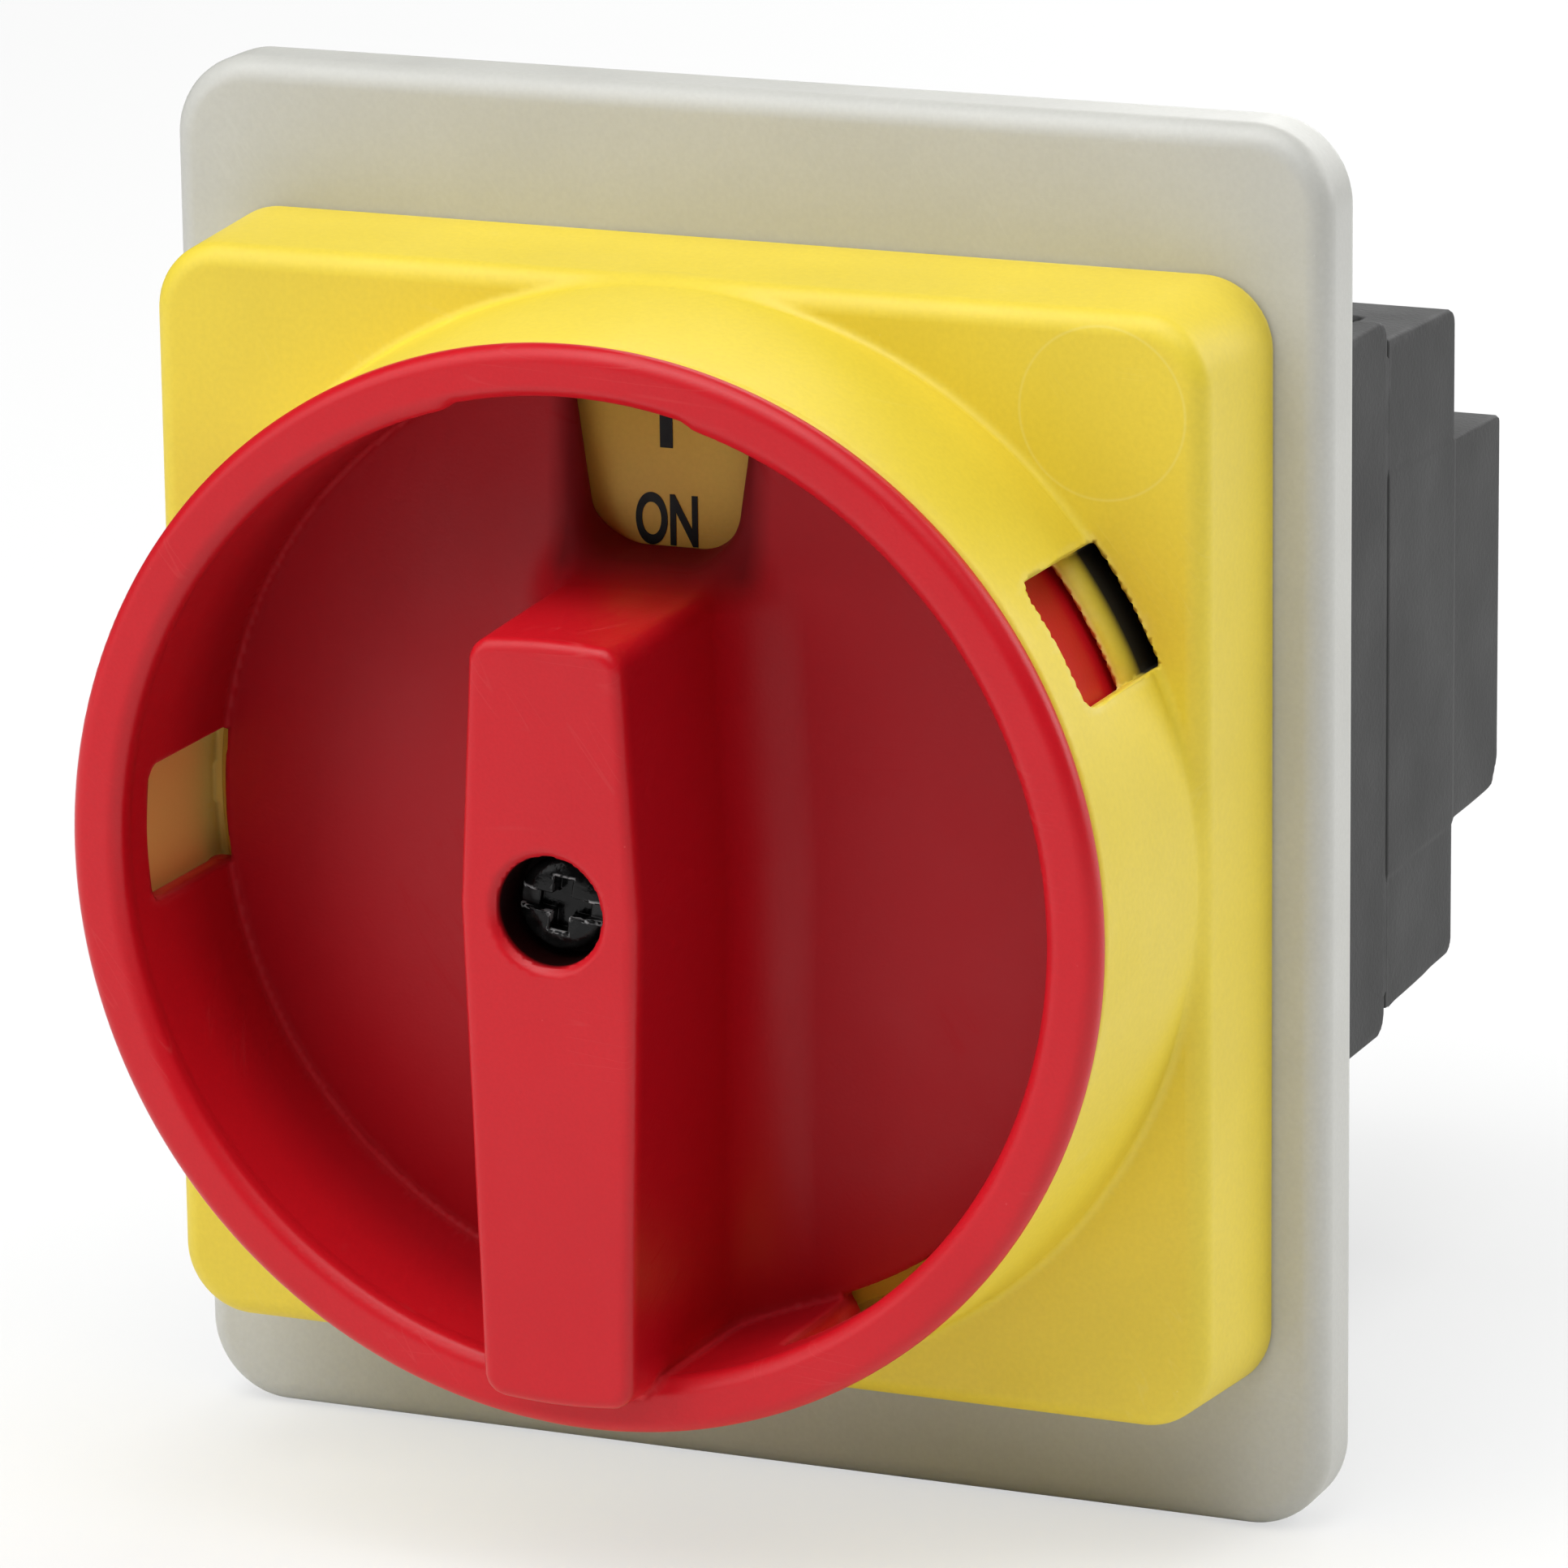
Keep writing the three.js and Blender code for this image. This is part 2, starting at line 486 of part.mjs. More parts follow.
// What one terminal takes out of the deck: room for the clamp, the contact bar, the wire and the screw.
function terminalRooms(x, side) {
  const bar = [BAR.front - 0.2, BAR.front + BAR.thickness + 0.2];
  const { inner, outer } = CLAMP_ROOM;
  const wire = [WIRE_WAY.front, WIRE_WAY.back];
  return [
    box(around(x, CLAMP_ROOM.halfWidth), [CLAMP_ROOM.front, CLAMP_ROOM.back], mirrored(side, inner, outer)),
    box(around(x, BAR.halfWidth + 0.2), bar, mirrored(side, CHAMBER.height - 1, inner + 1)),
    box(around(x, WIRE_WAY.halfWidth), wire, mirrored(side, outer - 1, FAR)),
    rod(TERMINAL_SCREW.head + PLAY, CLAMP_ROOM.back - 1, FAR, x, side * TERMINAL_SCREW.z),
  ];
}

function tieScrew(x, z) {
  const head = rod(TIE.head, TIE.headFront, TIE.headBack, x, z, 16);
  const drive = rod(1, TIE.headBack - 1, FAR, x, z, 6);
  return join(head.subtract(drive), rod(TIE.shank, TIE.end, TIE.headFront + 0.5, x, z, 12));
}

// ---------------------------------------------------------------- contacts

function fixedContact(x, side) {
  const back = BAR.front + BAR.thickness;
  const bar = box(around(x, BAR.halfWidth), [BAR.front, back], mirrored(side, BAR.inner, BAR.outer));
  const half = PAD.side / 2;
  const pad = box(around(x, half), [back - 0.2, back + PAD.thickness], around(side * PAD.z, half));
  const seatHeight = mirrored(side, SEAT.inner, SEAT.outer);
  const seat = box(around(x, SEAT.halfWidth), [SEAT.front, BAR.front + 0.2], seatHeight);
  return join(bar, pad, seat);
}

function terminalClamp(x, side) {
  const height = mirrored(side, CLAMP.inner, CLAMP.outer);
  const cage = box(around(x, CLAMP.halfWidth), [CLAMP.front, CLAMP.back], height);
  const wireRoom = box(
    around(x, CLAMP.halfWidth - CLAMP.wall), [CLAMP.front + CLAMP.plate, CLAMP.back - CLAMP.plate],
    mirrored(side, CLAMP.inner - 1, CLAMP.outer + 1),
  );
  const thread = rod(TERMINAL_SCREW.hole, CLAMP.back - 2, CLAMP.back + 1, x, side * TERMINAL_SCREW.z, 16);
  return cut(cage, wireRoom, thread);
}

function terminalScrew(x, side) {
  const z = side * TERMINAL_SCREW.z;
  const head = rod(TERMINAL_SCREW.head, TERMINAL_SCREW.headFront, TERMINAL_SCREW.headBack, x, z);
  const deep = TERMINAL_SCREW.headBack - 1;
  const slot = box(around(x, FAR), [deep, FAR], around(z, 0.4));
  const cross = box(around(x, 0.4), [deep, FAR], around(z, 1.5));
  const shank = rod(TERMINAL_SCREW.shank, TERMINAL_SCREW.tip, TERMINAL_SCREW.headFront + 0.5, x, z, 12);
  return join(cut(head, slot, cross), shank);
}

function contactBridge(x) {
  const back = BRIDGE.front + BRIDGE.thickness;
  const bar = box(around(x, BRIDGE.halfWidth), [BRIDGE.front, back], around(0, BRIDGE.half));
  const half = PAD.side / 2;
  const pads = [1, -1].map((side) =>
    box(around(x, half), [BRIDGE.padFront, BRIDGE.front + 0.2], around(side * PAD.z, half)));
  return join(bar, ...pads);
}

class SpringHelix extends THREE.Curve {
  constructor(x) {
    super();
    this.x = x;
  }

  getPoint(t, target = new THREE.Vector3()) {
    const angle = 2 * Math.PI * SPRING.turns * t;
    const [front, back] = [SPRING.front + SPRING.wire, SPRING.back - SPRING.wire];
    const y = front + (back - front) * t;
    return target.set(this.x + SPRING.radius * Math.cos(angle), y, SPRING.radius * Math.sin(angle));
  }
}

function contactSpring(x) {
  const section = new THREE.Shape();
  section.absarc(0, 0, SPRING.wire, 0, 2 * Math.PI);
  return solid(new THREE.ExtrudeGeometry(section, {
    extrudePath: new SpringHelix(x), steps: SPRING.turns * SPRING.stepsPerTurn, curveSegments: 3,
  }));
}

// The carriage: a plate with two cam followers in front and a pusher for each bridge behind.
function contactCarriage() {
  const { halfWidth, halfHeight, front, back } = CARRIAGE;
  const plate = box(around(0, halfWidth), [front, back], around(0, halfHeight));
  const pushers = POLE_X.map((x) =>
    box(around(x, PUSHER.halfWidth), [back - 1, PUSHER.tip], around(0, PUSHER.halfHeight)));
  const tip = rampHeight(RAMP.lead - 3) + PLAY;
  const followers = [0, 180].map((angle) =>
    radialBox(angle, [CAM.bore + 0.9, CAM.radius - 0.3], [tip, front + 1], 2.2));
  return join(plate, ...pushers, ...followers);
}

// ---------------------------------------------------------------- assembly

const isolator = new THREE.Group();
const place = (name, shape, material) => isolator.add(mesh(name, shape, material));

place("cover_plate", coverPlate(), MATERIAL.grey);
place("panel_gasket", gasketRing(GASKET.play), MATERIAL.rubber);
place("escutcheon", escutcheon(), MATERIAL.yellow);
place("dial_disc", dialDisc(), MATERIAL.dial);
eachCorner(PLATE_SCREW.x, PLATE_SCREW.z, (x, z, i) =>
  place(`plate_screw_${i}`, plateScrew(x, z), MATERIAL.steel));

place("handle_knob", handleKnob(), MATERIAL.red);
place("handle_screw", handleScrew(), MATERIAL.black);
place("drive_shaft", driveShaft(), MATERIAL.steel);
place("detent_star", detentStar(), MATERIAL.white);
place("rotor_cam", rotorCam(), MATERIAL.white);

place("latch_housing", latchHousing(), MATERIAL.body);
place("shaft_seal", shaftSeal(), MATERIAL.rubber);
place("detent_spring_upper", leafSpring(1), MATERIAL.steel);
place("detent_spring_lower", leafSpring(-1), MATERIAL.steel);
place("cam_housing", camHousing(), MATERIAL.body);
place("contact_housing", contactHousing(), MATERIAL.body);
eachCorner(TIE.x, TIE.z, (x, z, i) => place(`tie_screw_${i}`, tieScrew(x, z), MATERIAL.steel));

place("contact_carriage", contactCarriage(), MATERIAL.dark);
POLE_X.forEach((x, i) => {
  const pole = i + 1;
  for (const [row, side] of [["line", 1], ["load", -1]]) {
    place(`${row}_contact_${pole}`, fixedContact(x, side), MATERIAL.copper);
    place(`${row}_clamp_${pole}`, terminalClamp(x, side), MATERIAL.steel);
    place(`${row}_screw_${pole}`, terminalScrew(x, side), MATERIAL.steel);
  }
  place(`contact_bridge_${pole}`, contactBridge(x), MATERIAL.brass);
  place(`contact_spring_${pole}`, contactSpring(x), MATERIAL.steel);
});

export default isolator;
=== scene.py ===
"""A rotary isolator switch for panel mounting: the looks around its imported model.

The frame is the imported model's: +X right, +Z up and +Y into the cabinet, with the handle's axis on Y.
Moulded parts are written as signed distances in millimetres and meshed, so that every edge is rounded and
every inside corner has its fillet. Blender's own units are metres.
"""

import json
import math

import bmesh
import bpy
import numpy as np
from mathutils import Matrix, Vector


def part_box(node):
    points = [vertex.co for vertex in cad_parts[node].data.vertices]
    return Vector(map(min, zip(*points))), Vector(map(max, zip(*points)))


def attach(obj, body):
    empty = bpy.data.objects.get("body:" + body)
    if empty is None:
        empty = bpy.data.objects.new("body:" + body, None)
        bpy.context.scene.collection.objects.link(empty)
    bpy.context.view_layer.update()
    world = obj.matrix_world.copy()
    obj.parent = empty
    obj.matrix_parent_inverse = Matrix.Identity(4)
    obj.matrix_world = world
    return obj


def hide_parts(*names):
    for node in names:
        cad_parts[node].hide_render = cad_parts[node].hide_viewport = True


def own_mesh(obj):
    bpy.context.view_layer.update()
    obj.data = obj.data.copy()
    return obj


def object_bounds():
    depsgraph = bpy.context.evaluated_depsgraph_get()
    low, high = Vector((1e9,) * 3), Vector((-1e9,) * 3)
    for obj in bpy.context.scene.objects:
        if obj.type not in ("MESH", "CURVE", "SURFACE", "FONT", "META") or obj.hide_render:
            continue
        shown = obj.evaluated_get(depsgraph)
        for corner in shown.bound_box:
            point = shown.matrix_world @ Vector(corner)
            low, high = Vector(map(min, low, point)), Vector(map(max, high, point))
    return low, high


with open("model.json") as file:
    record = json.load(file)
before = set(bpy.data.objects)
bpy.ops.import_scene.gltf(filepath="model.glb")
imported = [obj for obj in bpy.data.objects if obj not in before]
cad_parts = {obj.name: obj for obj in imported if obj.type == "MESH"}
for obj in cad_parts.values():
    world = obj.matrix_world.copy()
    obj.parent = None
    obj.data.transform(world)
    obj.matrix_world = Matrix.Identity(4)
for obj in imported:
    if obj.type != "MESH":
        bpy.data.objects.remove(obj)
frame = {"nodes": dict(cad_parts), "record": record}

CAD_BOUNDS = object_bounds()
MM = 0.001

# ---------------------------------------------------------------- sizes, from the frame


def span(node, axis):
    """The lowest and highest coordinate of a CAD node along axis 0, 1 or 2, in millimetres."""
    low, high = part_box(node)
    return low[axis] / MM, high[axis] / MM


PANEL_GAP = 2.1
PLATE_HALF_X = span("cover_plate", 0)[1]
PLATE_HALF_Z = span("cover_plate", 2)[1]
PLATE_FRONT, PLATE_BACK = span("cover_plate", 1)
SQUARE_HALF = span("escutcheon", 0)[1]  # at its back, which is its widest
COLLAR_TIP, SQUARE_BACK = span("escutcheon", 1)
RIM_RADIUS = span("handle_knob", 0)[1]
GRIP_FRONT, NOSE_BACK = span("handle_knob", 1)
DIAL_FRONT, DIAL_BACK = span("dial_disc", 1)
BODY_HALF_X = span("cam_housing", 0)[1]
BODY_HALF_Z = span("cam_housing", 2)[1]

# The cover plate and the yellow square
PLATE_CORNER, PLATE_EDGE, PLATE_HOLE = 5.0, 1.5, 12.0
PLATE_SCREW_BORE, BOSS_RADIUS, BOSS_SINK_RADIUS, BOSS_SINK = 2, 4, 3.3, 2.2
GASKET_INSET, GROOVE_INSET, GROOVE_HALF, GASKET_CORNER, GASKET_FLOOR = 4.1, 5.2, 1.2, 2.2, -1.0
GASKET_MID_X, GASKET_MID_Z = PLATE_HALF_X - GROOVE_INSET, PLATE_HALF_Z - GROOVE_INSET
PLATE_SCREW_X, PLATE_SCREW_Z = 21.0, 14.0
SQUARE_FRONT, SQUARE_CORNER, SQUARE_EDGE, SQUARE_WALL, SQUARE_DRAFT = -14.7, 4.2, 1.3, 2.0, 0.046
COLLAR_BASE, COLLAR_TIP_RADIUS, COLLAR_BORE, WELL_FLOOR, DIAL_HOLE = 32.6, 31.6, 30.6, -13.0, 8.0
COLLAR_SLOTS, COLLAR_SLOT_HALF, COLLAR_SLOT_FRONT, COLLAR_SLOT_BACK = (30, 150, 270), 4.0, -23.6, -14.9
SHUT_OFF, LEDGE_FRONT, LEDGE_ROUND = (31.75, 32.8), -16.5, 1.3
EJECTOR_MARK, EJECTOR_RADIUS = (26.8, 27.2), 5.0

# The body behind the panel
LATCH_FRONT, LATCH_BACK = PANEL_GAP, span("latch_housing", 1)[1]
NECK_FRONT, NECK_RADIUS = span("latch_housing", 1)[0], 11.0
CAM_FRONT, DECK_FRONT = span("cam_housing", 1)
SHOULDER_HALF_Z, SHOULDER_BACK = span("contact_housing", 2)[1], 46.8
SHOULDER_DRAFT, TOWER_DRAFT, TOWER_SLANT_START, TOWER_SLANT = 0.045, 0.035, 54.5, 1.5
TOWER_HALF_Z, TOWER_BACK = 12.45, span("contact_housing", 1)[1]
SCALLOP_FRONT, SCALLOP_HALF, POLE_HALF_PITCH = 27.0, 5.2, 6.5
TIE_X, TIE_Z, TIE_BORE, TIE_FRONT, TIE_HEAD_BORE, TIE_HEAD_FRONT = 13.0, 16.5, 1.4, 13, 2.6, 44.5
TERMINAL_Z, TERMINAL_BORE, TERMINAL_FRONT = 16.5, 3.0, 43.5
PILOT_BORE, PILOT_BACK = 1.75, 10
STAR_WELL, STAR_FLOOR, SEAL_WELL, SEAL_BACK, SHAFT_BORE = (22, 11), 2.5, 8, -0.5, 5.5
CAM_WELL, CAM_WELL_DEPTH, CAM_BORE = 13.2, (20.1, 28), 5.3
FOLLOWER_WELL, FOLLOWER_FRONT = (24.9, 9), 27
LIP, LIP_ROOM = 0.5, Vector((0, 0.6, 0))
WIRE_WAY_Y, WIRE_WAY_HALF, WIRE_WAY_END = 38.7, (3.1, 2.3), 18
OPEN = -math.inf
POLE_ROOMS = {  # half width, then from and to: away from the middle, and from front to back
    "contacts": (4.4, (OPEN, 10.2), (40.4, 54.4)),
    "pusher": (2.7, (OPEN, 4.2), (OPEN, 41)),
    "clamp": (4.3, (13.2, 19.8), (35, 44.3)),
    "bar": (3.2, (9.5, 14), (40.8, 42.4)),
}

# The handle
RIM_FRONT, RIM_BACK = -29.2, -27.2
BORE, WALL_RADIUS = 28.8, 30.2
FLOOR_FRONT, FLOOR_BACK, FLOOR_CROWN = -15.5, -14.2, 1.2
HUB_RADIUS, HUB_BACK, NOSE_RADIUS = 7.0, -7.0, 5.2
GRIP_TOP, GRIP_BOTTOM, GRIP_WAIST, GRIP_TIP, GRIP_DRAFT = 15.9, -29.4, 5.5, 4.6, 0.03
GRIP_BOW = 0.35
FOOT_FILLET = 4.0
WINDOW_HALF, WINDOW_BOTTOM, POCKET_HALF, POCKET_BOTTOM, POCKET_FRONT = 4.75, 17.15, 6.1, 16.5, -20.5
WINDOW_TAPER, WINDOW_MIDDLE, WINDOW_CORNER, POCKET_EDGE = 0.14, 21.0, 2.5, 1.0
HANDLE_SLOT = {"angles": (180, 60, -60), "half": 4.1, "front": -25.3}
RECESS_RADIUS, RECESS_CHAMFER = 3.25, 0.4
RECESS_BACK, SCREW_HOLE, SOCKET_HALF, SOCKET_FRONT = -28.5, 2.0, 2.65, -26.3

# Dial, fasteners and springs
DIAL_RADIUS, DIAL_EDGE = 29.8, 0.15
INK_PROUD, INK_SUNK = 0.05, 0.05
THREAD_PITCH, THREAD_DEPTH, SCREW_TURN = 0.8, 0.22, 8
SPRING_RADIUS, SPRING_WIRE, SPRING_TURNS, SPRING_STROKE = 2.5, 0.36, 4, 3.0

# Studio: angles in degrees, lengths in metres
CAMERA_AZIMUTH, CAMERA_ELEVATION, CAMERA_ROLL = 23.17, 15.07, -0.73
CAMERA_DISTANCE, CAMERA_SHIFT, CAMERA_LENS, CAMERA_SENSOR = 0.5445, (0.0007, -0.0006), 209.65, 36
LIGHT_DISTANCE, LIGHT_SIZE, FILL_LIGHT, FLOOR_FADE, FLOOR_SEEN = 1.0, 0.7, 0.02, (0.35, 1.1), 0.4

# ---------------------------------------------------------------- signed distances


def both(a, b, edge=0.0):
    """Inside both shapes, with the edge between them rounded."""
    if not edge:
        return np.maximum(a, b)
    return np.minimum(np.maximum(a, b), -edge) + np.hypot(np.maximum(a + edge, 0), np.maximum(b + edge, 0))


def either(a, b, fillet=0.0):
    """Inside either shape, with a fillet in the corner between them."""
    return -both(-a, -b, fillet)


def without(a, b, edge=0.0):
    """Inside the first shape and outside the second, with the edge of the cut rounded."""
    return both(a, -b, edge)


def between(value, low, high):
    return np.maximum(low - value, value - high)


def rectangle(x, z, half_x, half_z, corner):
    """A rounded rectangle about the origin of a plane."""
    across, up = np.abs(x) - (half_x - corner), np.abs(z) - (half_z - corner)
    return np.hypot(np.maximum(across, 0), np.maximum(up, 0)) + np.minimum(np.maximum(across, up), 0) - corner


def round_bar(x, y, z, radius, front, back, edge=0.0):
    """A cylinder about the handle's axis."""
    return both(np.hypot(x, z) - radius, between(y, front, back), edge)


def turned_to(x, z, degrees):
    """The distance out along a direction from the handle's axis, and the distance to the side of it."""
    c, s = math.cos(math.radians(degrees)), math.sin(math.radians(degrees))
    return x * c + z * s, z * c - x * s


# ---------------------------------------------------------------- meshing

MARK_REACH = 0.6  # how far under or over a surface its edges and inside corners are felt
CORNERS = np.array([(i, j, k) for i in (0, 1) for j in (0, 1) for k in (0, 1)])
CELL_EDGES = [(a, b) for a in range(8) for b in range(a + 1, 8) if abs(CORNERS[a] - CORNERS[b]).sum() == 1]


def surface_net(shape, low, high, step):
    """The vertices and quads where shape's distance is zero, on a grid of that step."""
    axes = [np.arange(a - 1.6 * step, b + 2.1 * step, step) for a, b in zip(low, high)]
    grid = np.meshgrid(*axes, indexing="ij", sparse=True)
    value = np.ascontiguousarray(np.broadcast_to(shape(*grid), [len(a) for a in axes]), dtype=np.float32)
    inside = value < 0
    cells = tuple(n - 1 for n in inside.shape)
    count = np.zeros(cells, np.uint8)
    for corner in CORNERS:
        count += inside[tuple(slice(c, c + n) for c, n in zip(corner, cells))]
    active = np.argwhere((count > 0) & (count < 8))
    number = np.full(cells, -1, np.int64)
    number[tuple(active.T)] = np.arange(len(active))
    total, crossings = np.zeros((len(active), 3)), np.zeros(len(active))
    for a, b in CELL_EDGES:
        va = value[tuple((active + CORNERS[a]).T)].astype(float)
        vb = value[tuple((active + CORNERS[b]).T)].astype(float)
        crosses = (va < 0) != (vb < 0)
        share = np.where(crosses, va / np.where(crosses, va - vb, 1), 0)[:, None]
        total += crosses[:, None] * (CORNERS[a] + share * (CORNERS[b] - CORNERS[a]))
        crossings += crosses
    points = np.array([a[0] for a in axes]) + step * (active + total / crossings[:, None])
    quads = []
    for axis in range(3):
        u, v = (axis + 1) % 3, (axis + 2) % 3
        first = np.take(inside, range(inside.shape[axis] - 1), axis)
        second = np.take(inside, range(1, inside.shape[axis]), axis)
        at = np.argwhere(first != second)
        at = at[(at[:, u] > 0) & (at[:, v] > 0) & (at[:, u] < cells[u]) & (at[:, v] < cells[v])]
        around = []
        for du, dv in ((-1, -1), (0, -1), (0, 0), (-1, 0)):
            cell = at.copy()
            cell[:, u] += du
            cell[:, v] += dv
            around.append(number[tuple(cell.T)])
        ring = np.stack(around, 1)
        backwards = ~first[tuple(at.T)]
        ring[backwards] = ring[backwards][:, ::-1]
        quads.append(ring)
    return points, np.concatenate(quads)


def slope(shape, points, reach=0.01):
    """The gradient of shape's distance at each point."""
    result = np.empty_like(points)
    for axis in range(3):
        step = np.zeros(3)
        step[axis] = reach
        ahead, behind = (shape(*(points + s * step).T) for s in (1, -1))
        result[:, axis] = (ahead - behind) / (2 * reach)
    return result


def settle(shape, points, rounds=3):
    """Points moved onto shape's surface, and the surface's normals there."""
    start = points.copy()
    for _ in range(rounds):
        g = slope(shape, points)
        away = shape(*points.T) / np.maximum((g**2).sum(1), 0.2)
        points = points - g * np.clip(away, -0.2, 0.2)[:, None]
    lost = np.linalg.norm(points - start, axis=1) > 0.4
    points[lost] = start[lost]
    g = slope(shape, points, 0.03)
    return points, g / np.maximum(np.linalg.norm(g, axis=1), 1e-6)[:, None]


def bare_mesh(name, points, faces):
    data = bpy.data.meshes.new(name)
    data.vertices.add(len(points))
    data.vertices.foreach_set("co", (points * MM).astype(np.float32).ravel())
    data.loops.add(faces.size)
    data.loops.foreach_set("vertex_index", faces.ravel().astype(np.int32))
    data.polygons.add(len(faces))
    data.polygons.foreach_set("loop_start", np.arange(0, faces.size, faces.shape[1], dtype=np.int32))
    data.update(calc_edges=True)
    return data


def thinned(data, ratio):
    """A copy of a mesh with flat stretches collapsed to that share of its triangles."""
    holder = bpy.data.objects.new("thinning", data)
    bpy.context.scene.collection.objects.link(holder)
    thin = holder.modifiers.new("thin", "DECIMATE")
    thin.ratio = ratio
    ready = holder.evaluated_get(bpy.context.evaluated_depsgraph_get())
    result = bpy.data.meshes.new_from_object(ready)
    bpy.data.objects.remove(holder)
    return result


def moulded(name, shape, low, high, step=0.3, keep=0.45):
    """An object whose surface is where shape's distance is zero, between two corners in millimetres."""
    points, quads = surface_net(shape, low, high, step)
    points, _ = settle(shape, points)
    data = thinned(bare_mesh(name, points, quads), keep)
    points = np.empty(len(data.vertices) * 3, np.float32)
    data.vertices.foreach_get("co", points)
    points, normals = settle(shape, points.reshape(-1, 3).astype(float) / MM, 2)
    data.vertices.foreach_set("co", (points * MM).astype(np.float32).ravel())
    data.name = name
    data.polygons.foreach_set("use_smooth", [True] * len(data.polygons))
    data.normals_split_custom_set_from_vertices(normals.tolist())
    # The second mark measures inside corners, which plastic paints darker as shade.
    for mark, way in (("worn", -1), ("corner_shade", 1)):
        depth = way * shape(*(points + way * MARK_REACH * normals).T)
        data.attributes.new(mark, "FLOAT", "POINT").data.foreach_set("value", 1 - depth / MARK_REACH)
    data.update()
    return placed(name, data)


def placed(name, data, at=(0, 0, 0)):
    """A new object that holds a mesh, at a place in millimetres."""
    made = bpy.data.objects.new(name, data)
    made.location = Vector(at) * MM
    bpy.context.scene.collection.objects.link(made)
    return made


def fixed(piece, node, slot, body="base"):
    """A piece that stands for a CAD node, on that body and with the material of that slot."""
    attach(piece, body)
    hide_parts(node)
    piece.data.materials.append(FINISH[slot])
    return piece


# ---------------------------------------------------------------- materials

FINISH = {}


class Paint:
    """A material in the making. Its methods add nodes and return the socket that carries their result."""

    def __init__(self, name):
        self.made = bpy.data.materials.new(name)
        self.made.use_nodes = True
        self.shader = self.made.node_tree.nodes["Principled BSDF"]
        FINISH[name] = self.made
        where = self.add("ShaderNodeTexCoord").outputs["Object"]
        self.place = self.mm(where)

    def add(self, kind, **settings):
        node = self.made.node_tree.nodes.new(kind)
        for key, value in settings.items():
            setattr(node, key, value)
        return node

    def feed(self, socket, value):
        """A socket takes either another socket's result or a plain value."""
        if isinstance(value, bpy.types.NodeSocket):
            self.made.node_tree.links.new(value, socket)
        elif socket.type == "RGBA":
            socket.default_value = (*value, 1)
        else:
            socket.default_value = value

    def mm(self, vector, scale=(1000, 1000, 1000), turn=0.0):
        """Coordinates in millimetres, stretched, and turned about each axis."""
        node = self.add("ShaderNodeMapping")
        self.feed(node.inputs["Vector"], vector)
        node.inputs["Scale"].default_value = scale
        node.inputs["Rotation"].default_value = (turn, turn * 0.7, turn * 1.3)
        return node.outputs["Vector"]

    def maths(self, operation, a, b=0.0, clamp=False):
        node = self.add("ShaderNodeMath", operation=operation, use_clamp=clamp)
        self.feed(node.inputs[0], a)
        self.feed(node.inputs[1], b)
        return node.outputs[0]

    def product(self, *shares):
        result = shares[0]
        for share in shares[1:]:
            result = self.maths("MULTIPLY", result, share)
        return result

    def noise(self, size, detail=2.0, stretch=(1, 1, 1), turn=0.0):
        """Cloudy values around 0.5 with features of about that size in millimetres."""
        node = self.add("ShaderNodeTexNoise")
        vector = self.place
        if turn:
            vector = self.mm(vector, (1, 1, 1), turn)
        if stretch != (1, 1, 1):
            vector = self.mm(vector, stretch)
        self.feed(node.inputs["Vector"], vector)
        node.inputs["Scale"].default_value = 1 / size
        node.inputs["Detail"].default_value = detail
        return node.outputs["Fac"]

    def specks(self, size, radius):
        """Small round spots: one in each cell of about that size in millimetres."""
        node = self.add("ShaderNodeTexVoronoi")
        self.feed(node.inputs["Vector"], self.place)
        node.inputs["Scale"].default_value = 1 / size
        return self.ramp(node.outputs["Distance"], radius / size, 0.5 * radius / size)

    def ramp(self, value, low, high, to_low=0.0, to_high=1.0):
        node = self.add("ShaderNodeMapRange")
        for socket, number in zip(node.inputs[:5], (value, low, high, to_low, to_high)):
            self.feed(socket, number)
        return node.outputs["Result"]

    def blend(self, share, a, b):
        node = self.add("ShaderNodeMix", data_type="RGBA")
        self.feed(node.inputs["Factor"], share)
        self.feed(node.inputs["A"], a)
        self.feed(node.inputs["B"], b)
        return node.outputs["Result"]

    def axis(self, letter):
        node = self.add("ShaderNodeSeparateXYZ")
        self.feed(node.inputs[0], self.place)
        return node.outputs[letter]

    def radius(self, at=(0, 0)):
        """The distance from a point of the front view, in millimetres."""
        x = self.maths("SUBTRACT", self.axis("X"), at[0])
        z = self.maths("SUBTRACT", self.axis("Z"), at[1])
        return self.maths("SQRT", self.maths("ADD", self.maths("POWER", x, 2.0), self.maths("POWER", z, 2.0)))

    def mark(self, name):
        """A mesh's own measure of its edges or of its inside corners."""
        return self.add("ShaderNodeAttribute", attribute_name=name).outputs["Fac"]

    def scratches(self, length, width, rarity, turn):
        """Broken straight lines of about that length and width in millimetres."""
        lines = self.noise(1, 0.0, (1 / width / 8, 1 / length, 1 / length), turn)
        thin = self.ramp(self.maths("ABSOLUTE", self.maths("SUBTRACT", lines, 0.5)), 0.02, 0.004)
        broken = self.ramp(self.noise(length * 0.8, 1.0, turn=turn + 1), rarity, rarity + 0.04)
        return self.maths("MULTIPLY", thin, broken)

    def relief(self, height, depth):
        """Raises the surface by that many millimetres where height is 1."""
        node = self.add("ShaderNodeBump")
        node.inputs["Strength"].default_value = 1.0
        node.inputs["Distance"].default_value = depth * MM
        self.feed(node.inputs["Height"], height)
        self.feed(self.shader.inputs["Normal"], node.outputs["Normal"])

    def finish(self, colour, roughness, metallic=0.0, ior=1.5):
        self.feed(self.shader.inputs["Base Color"], colour)
        self.feed(self.shader.inputs["Roughness"], roughness)
        self.shader.inputs["Metallic"].default_value = metallic
        self.shader.inputs["IOR"].default_value = ior


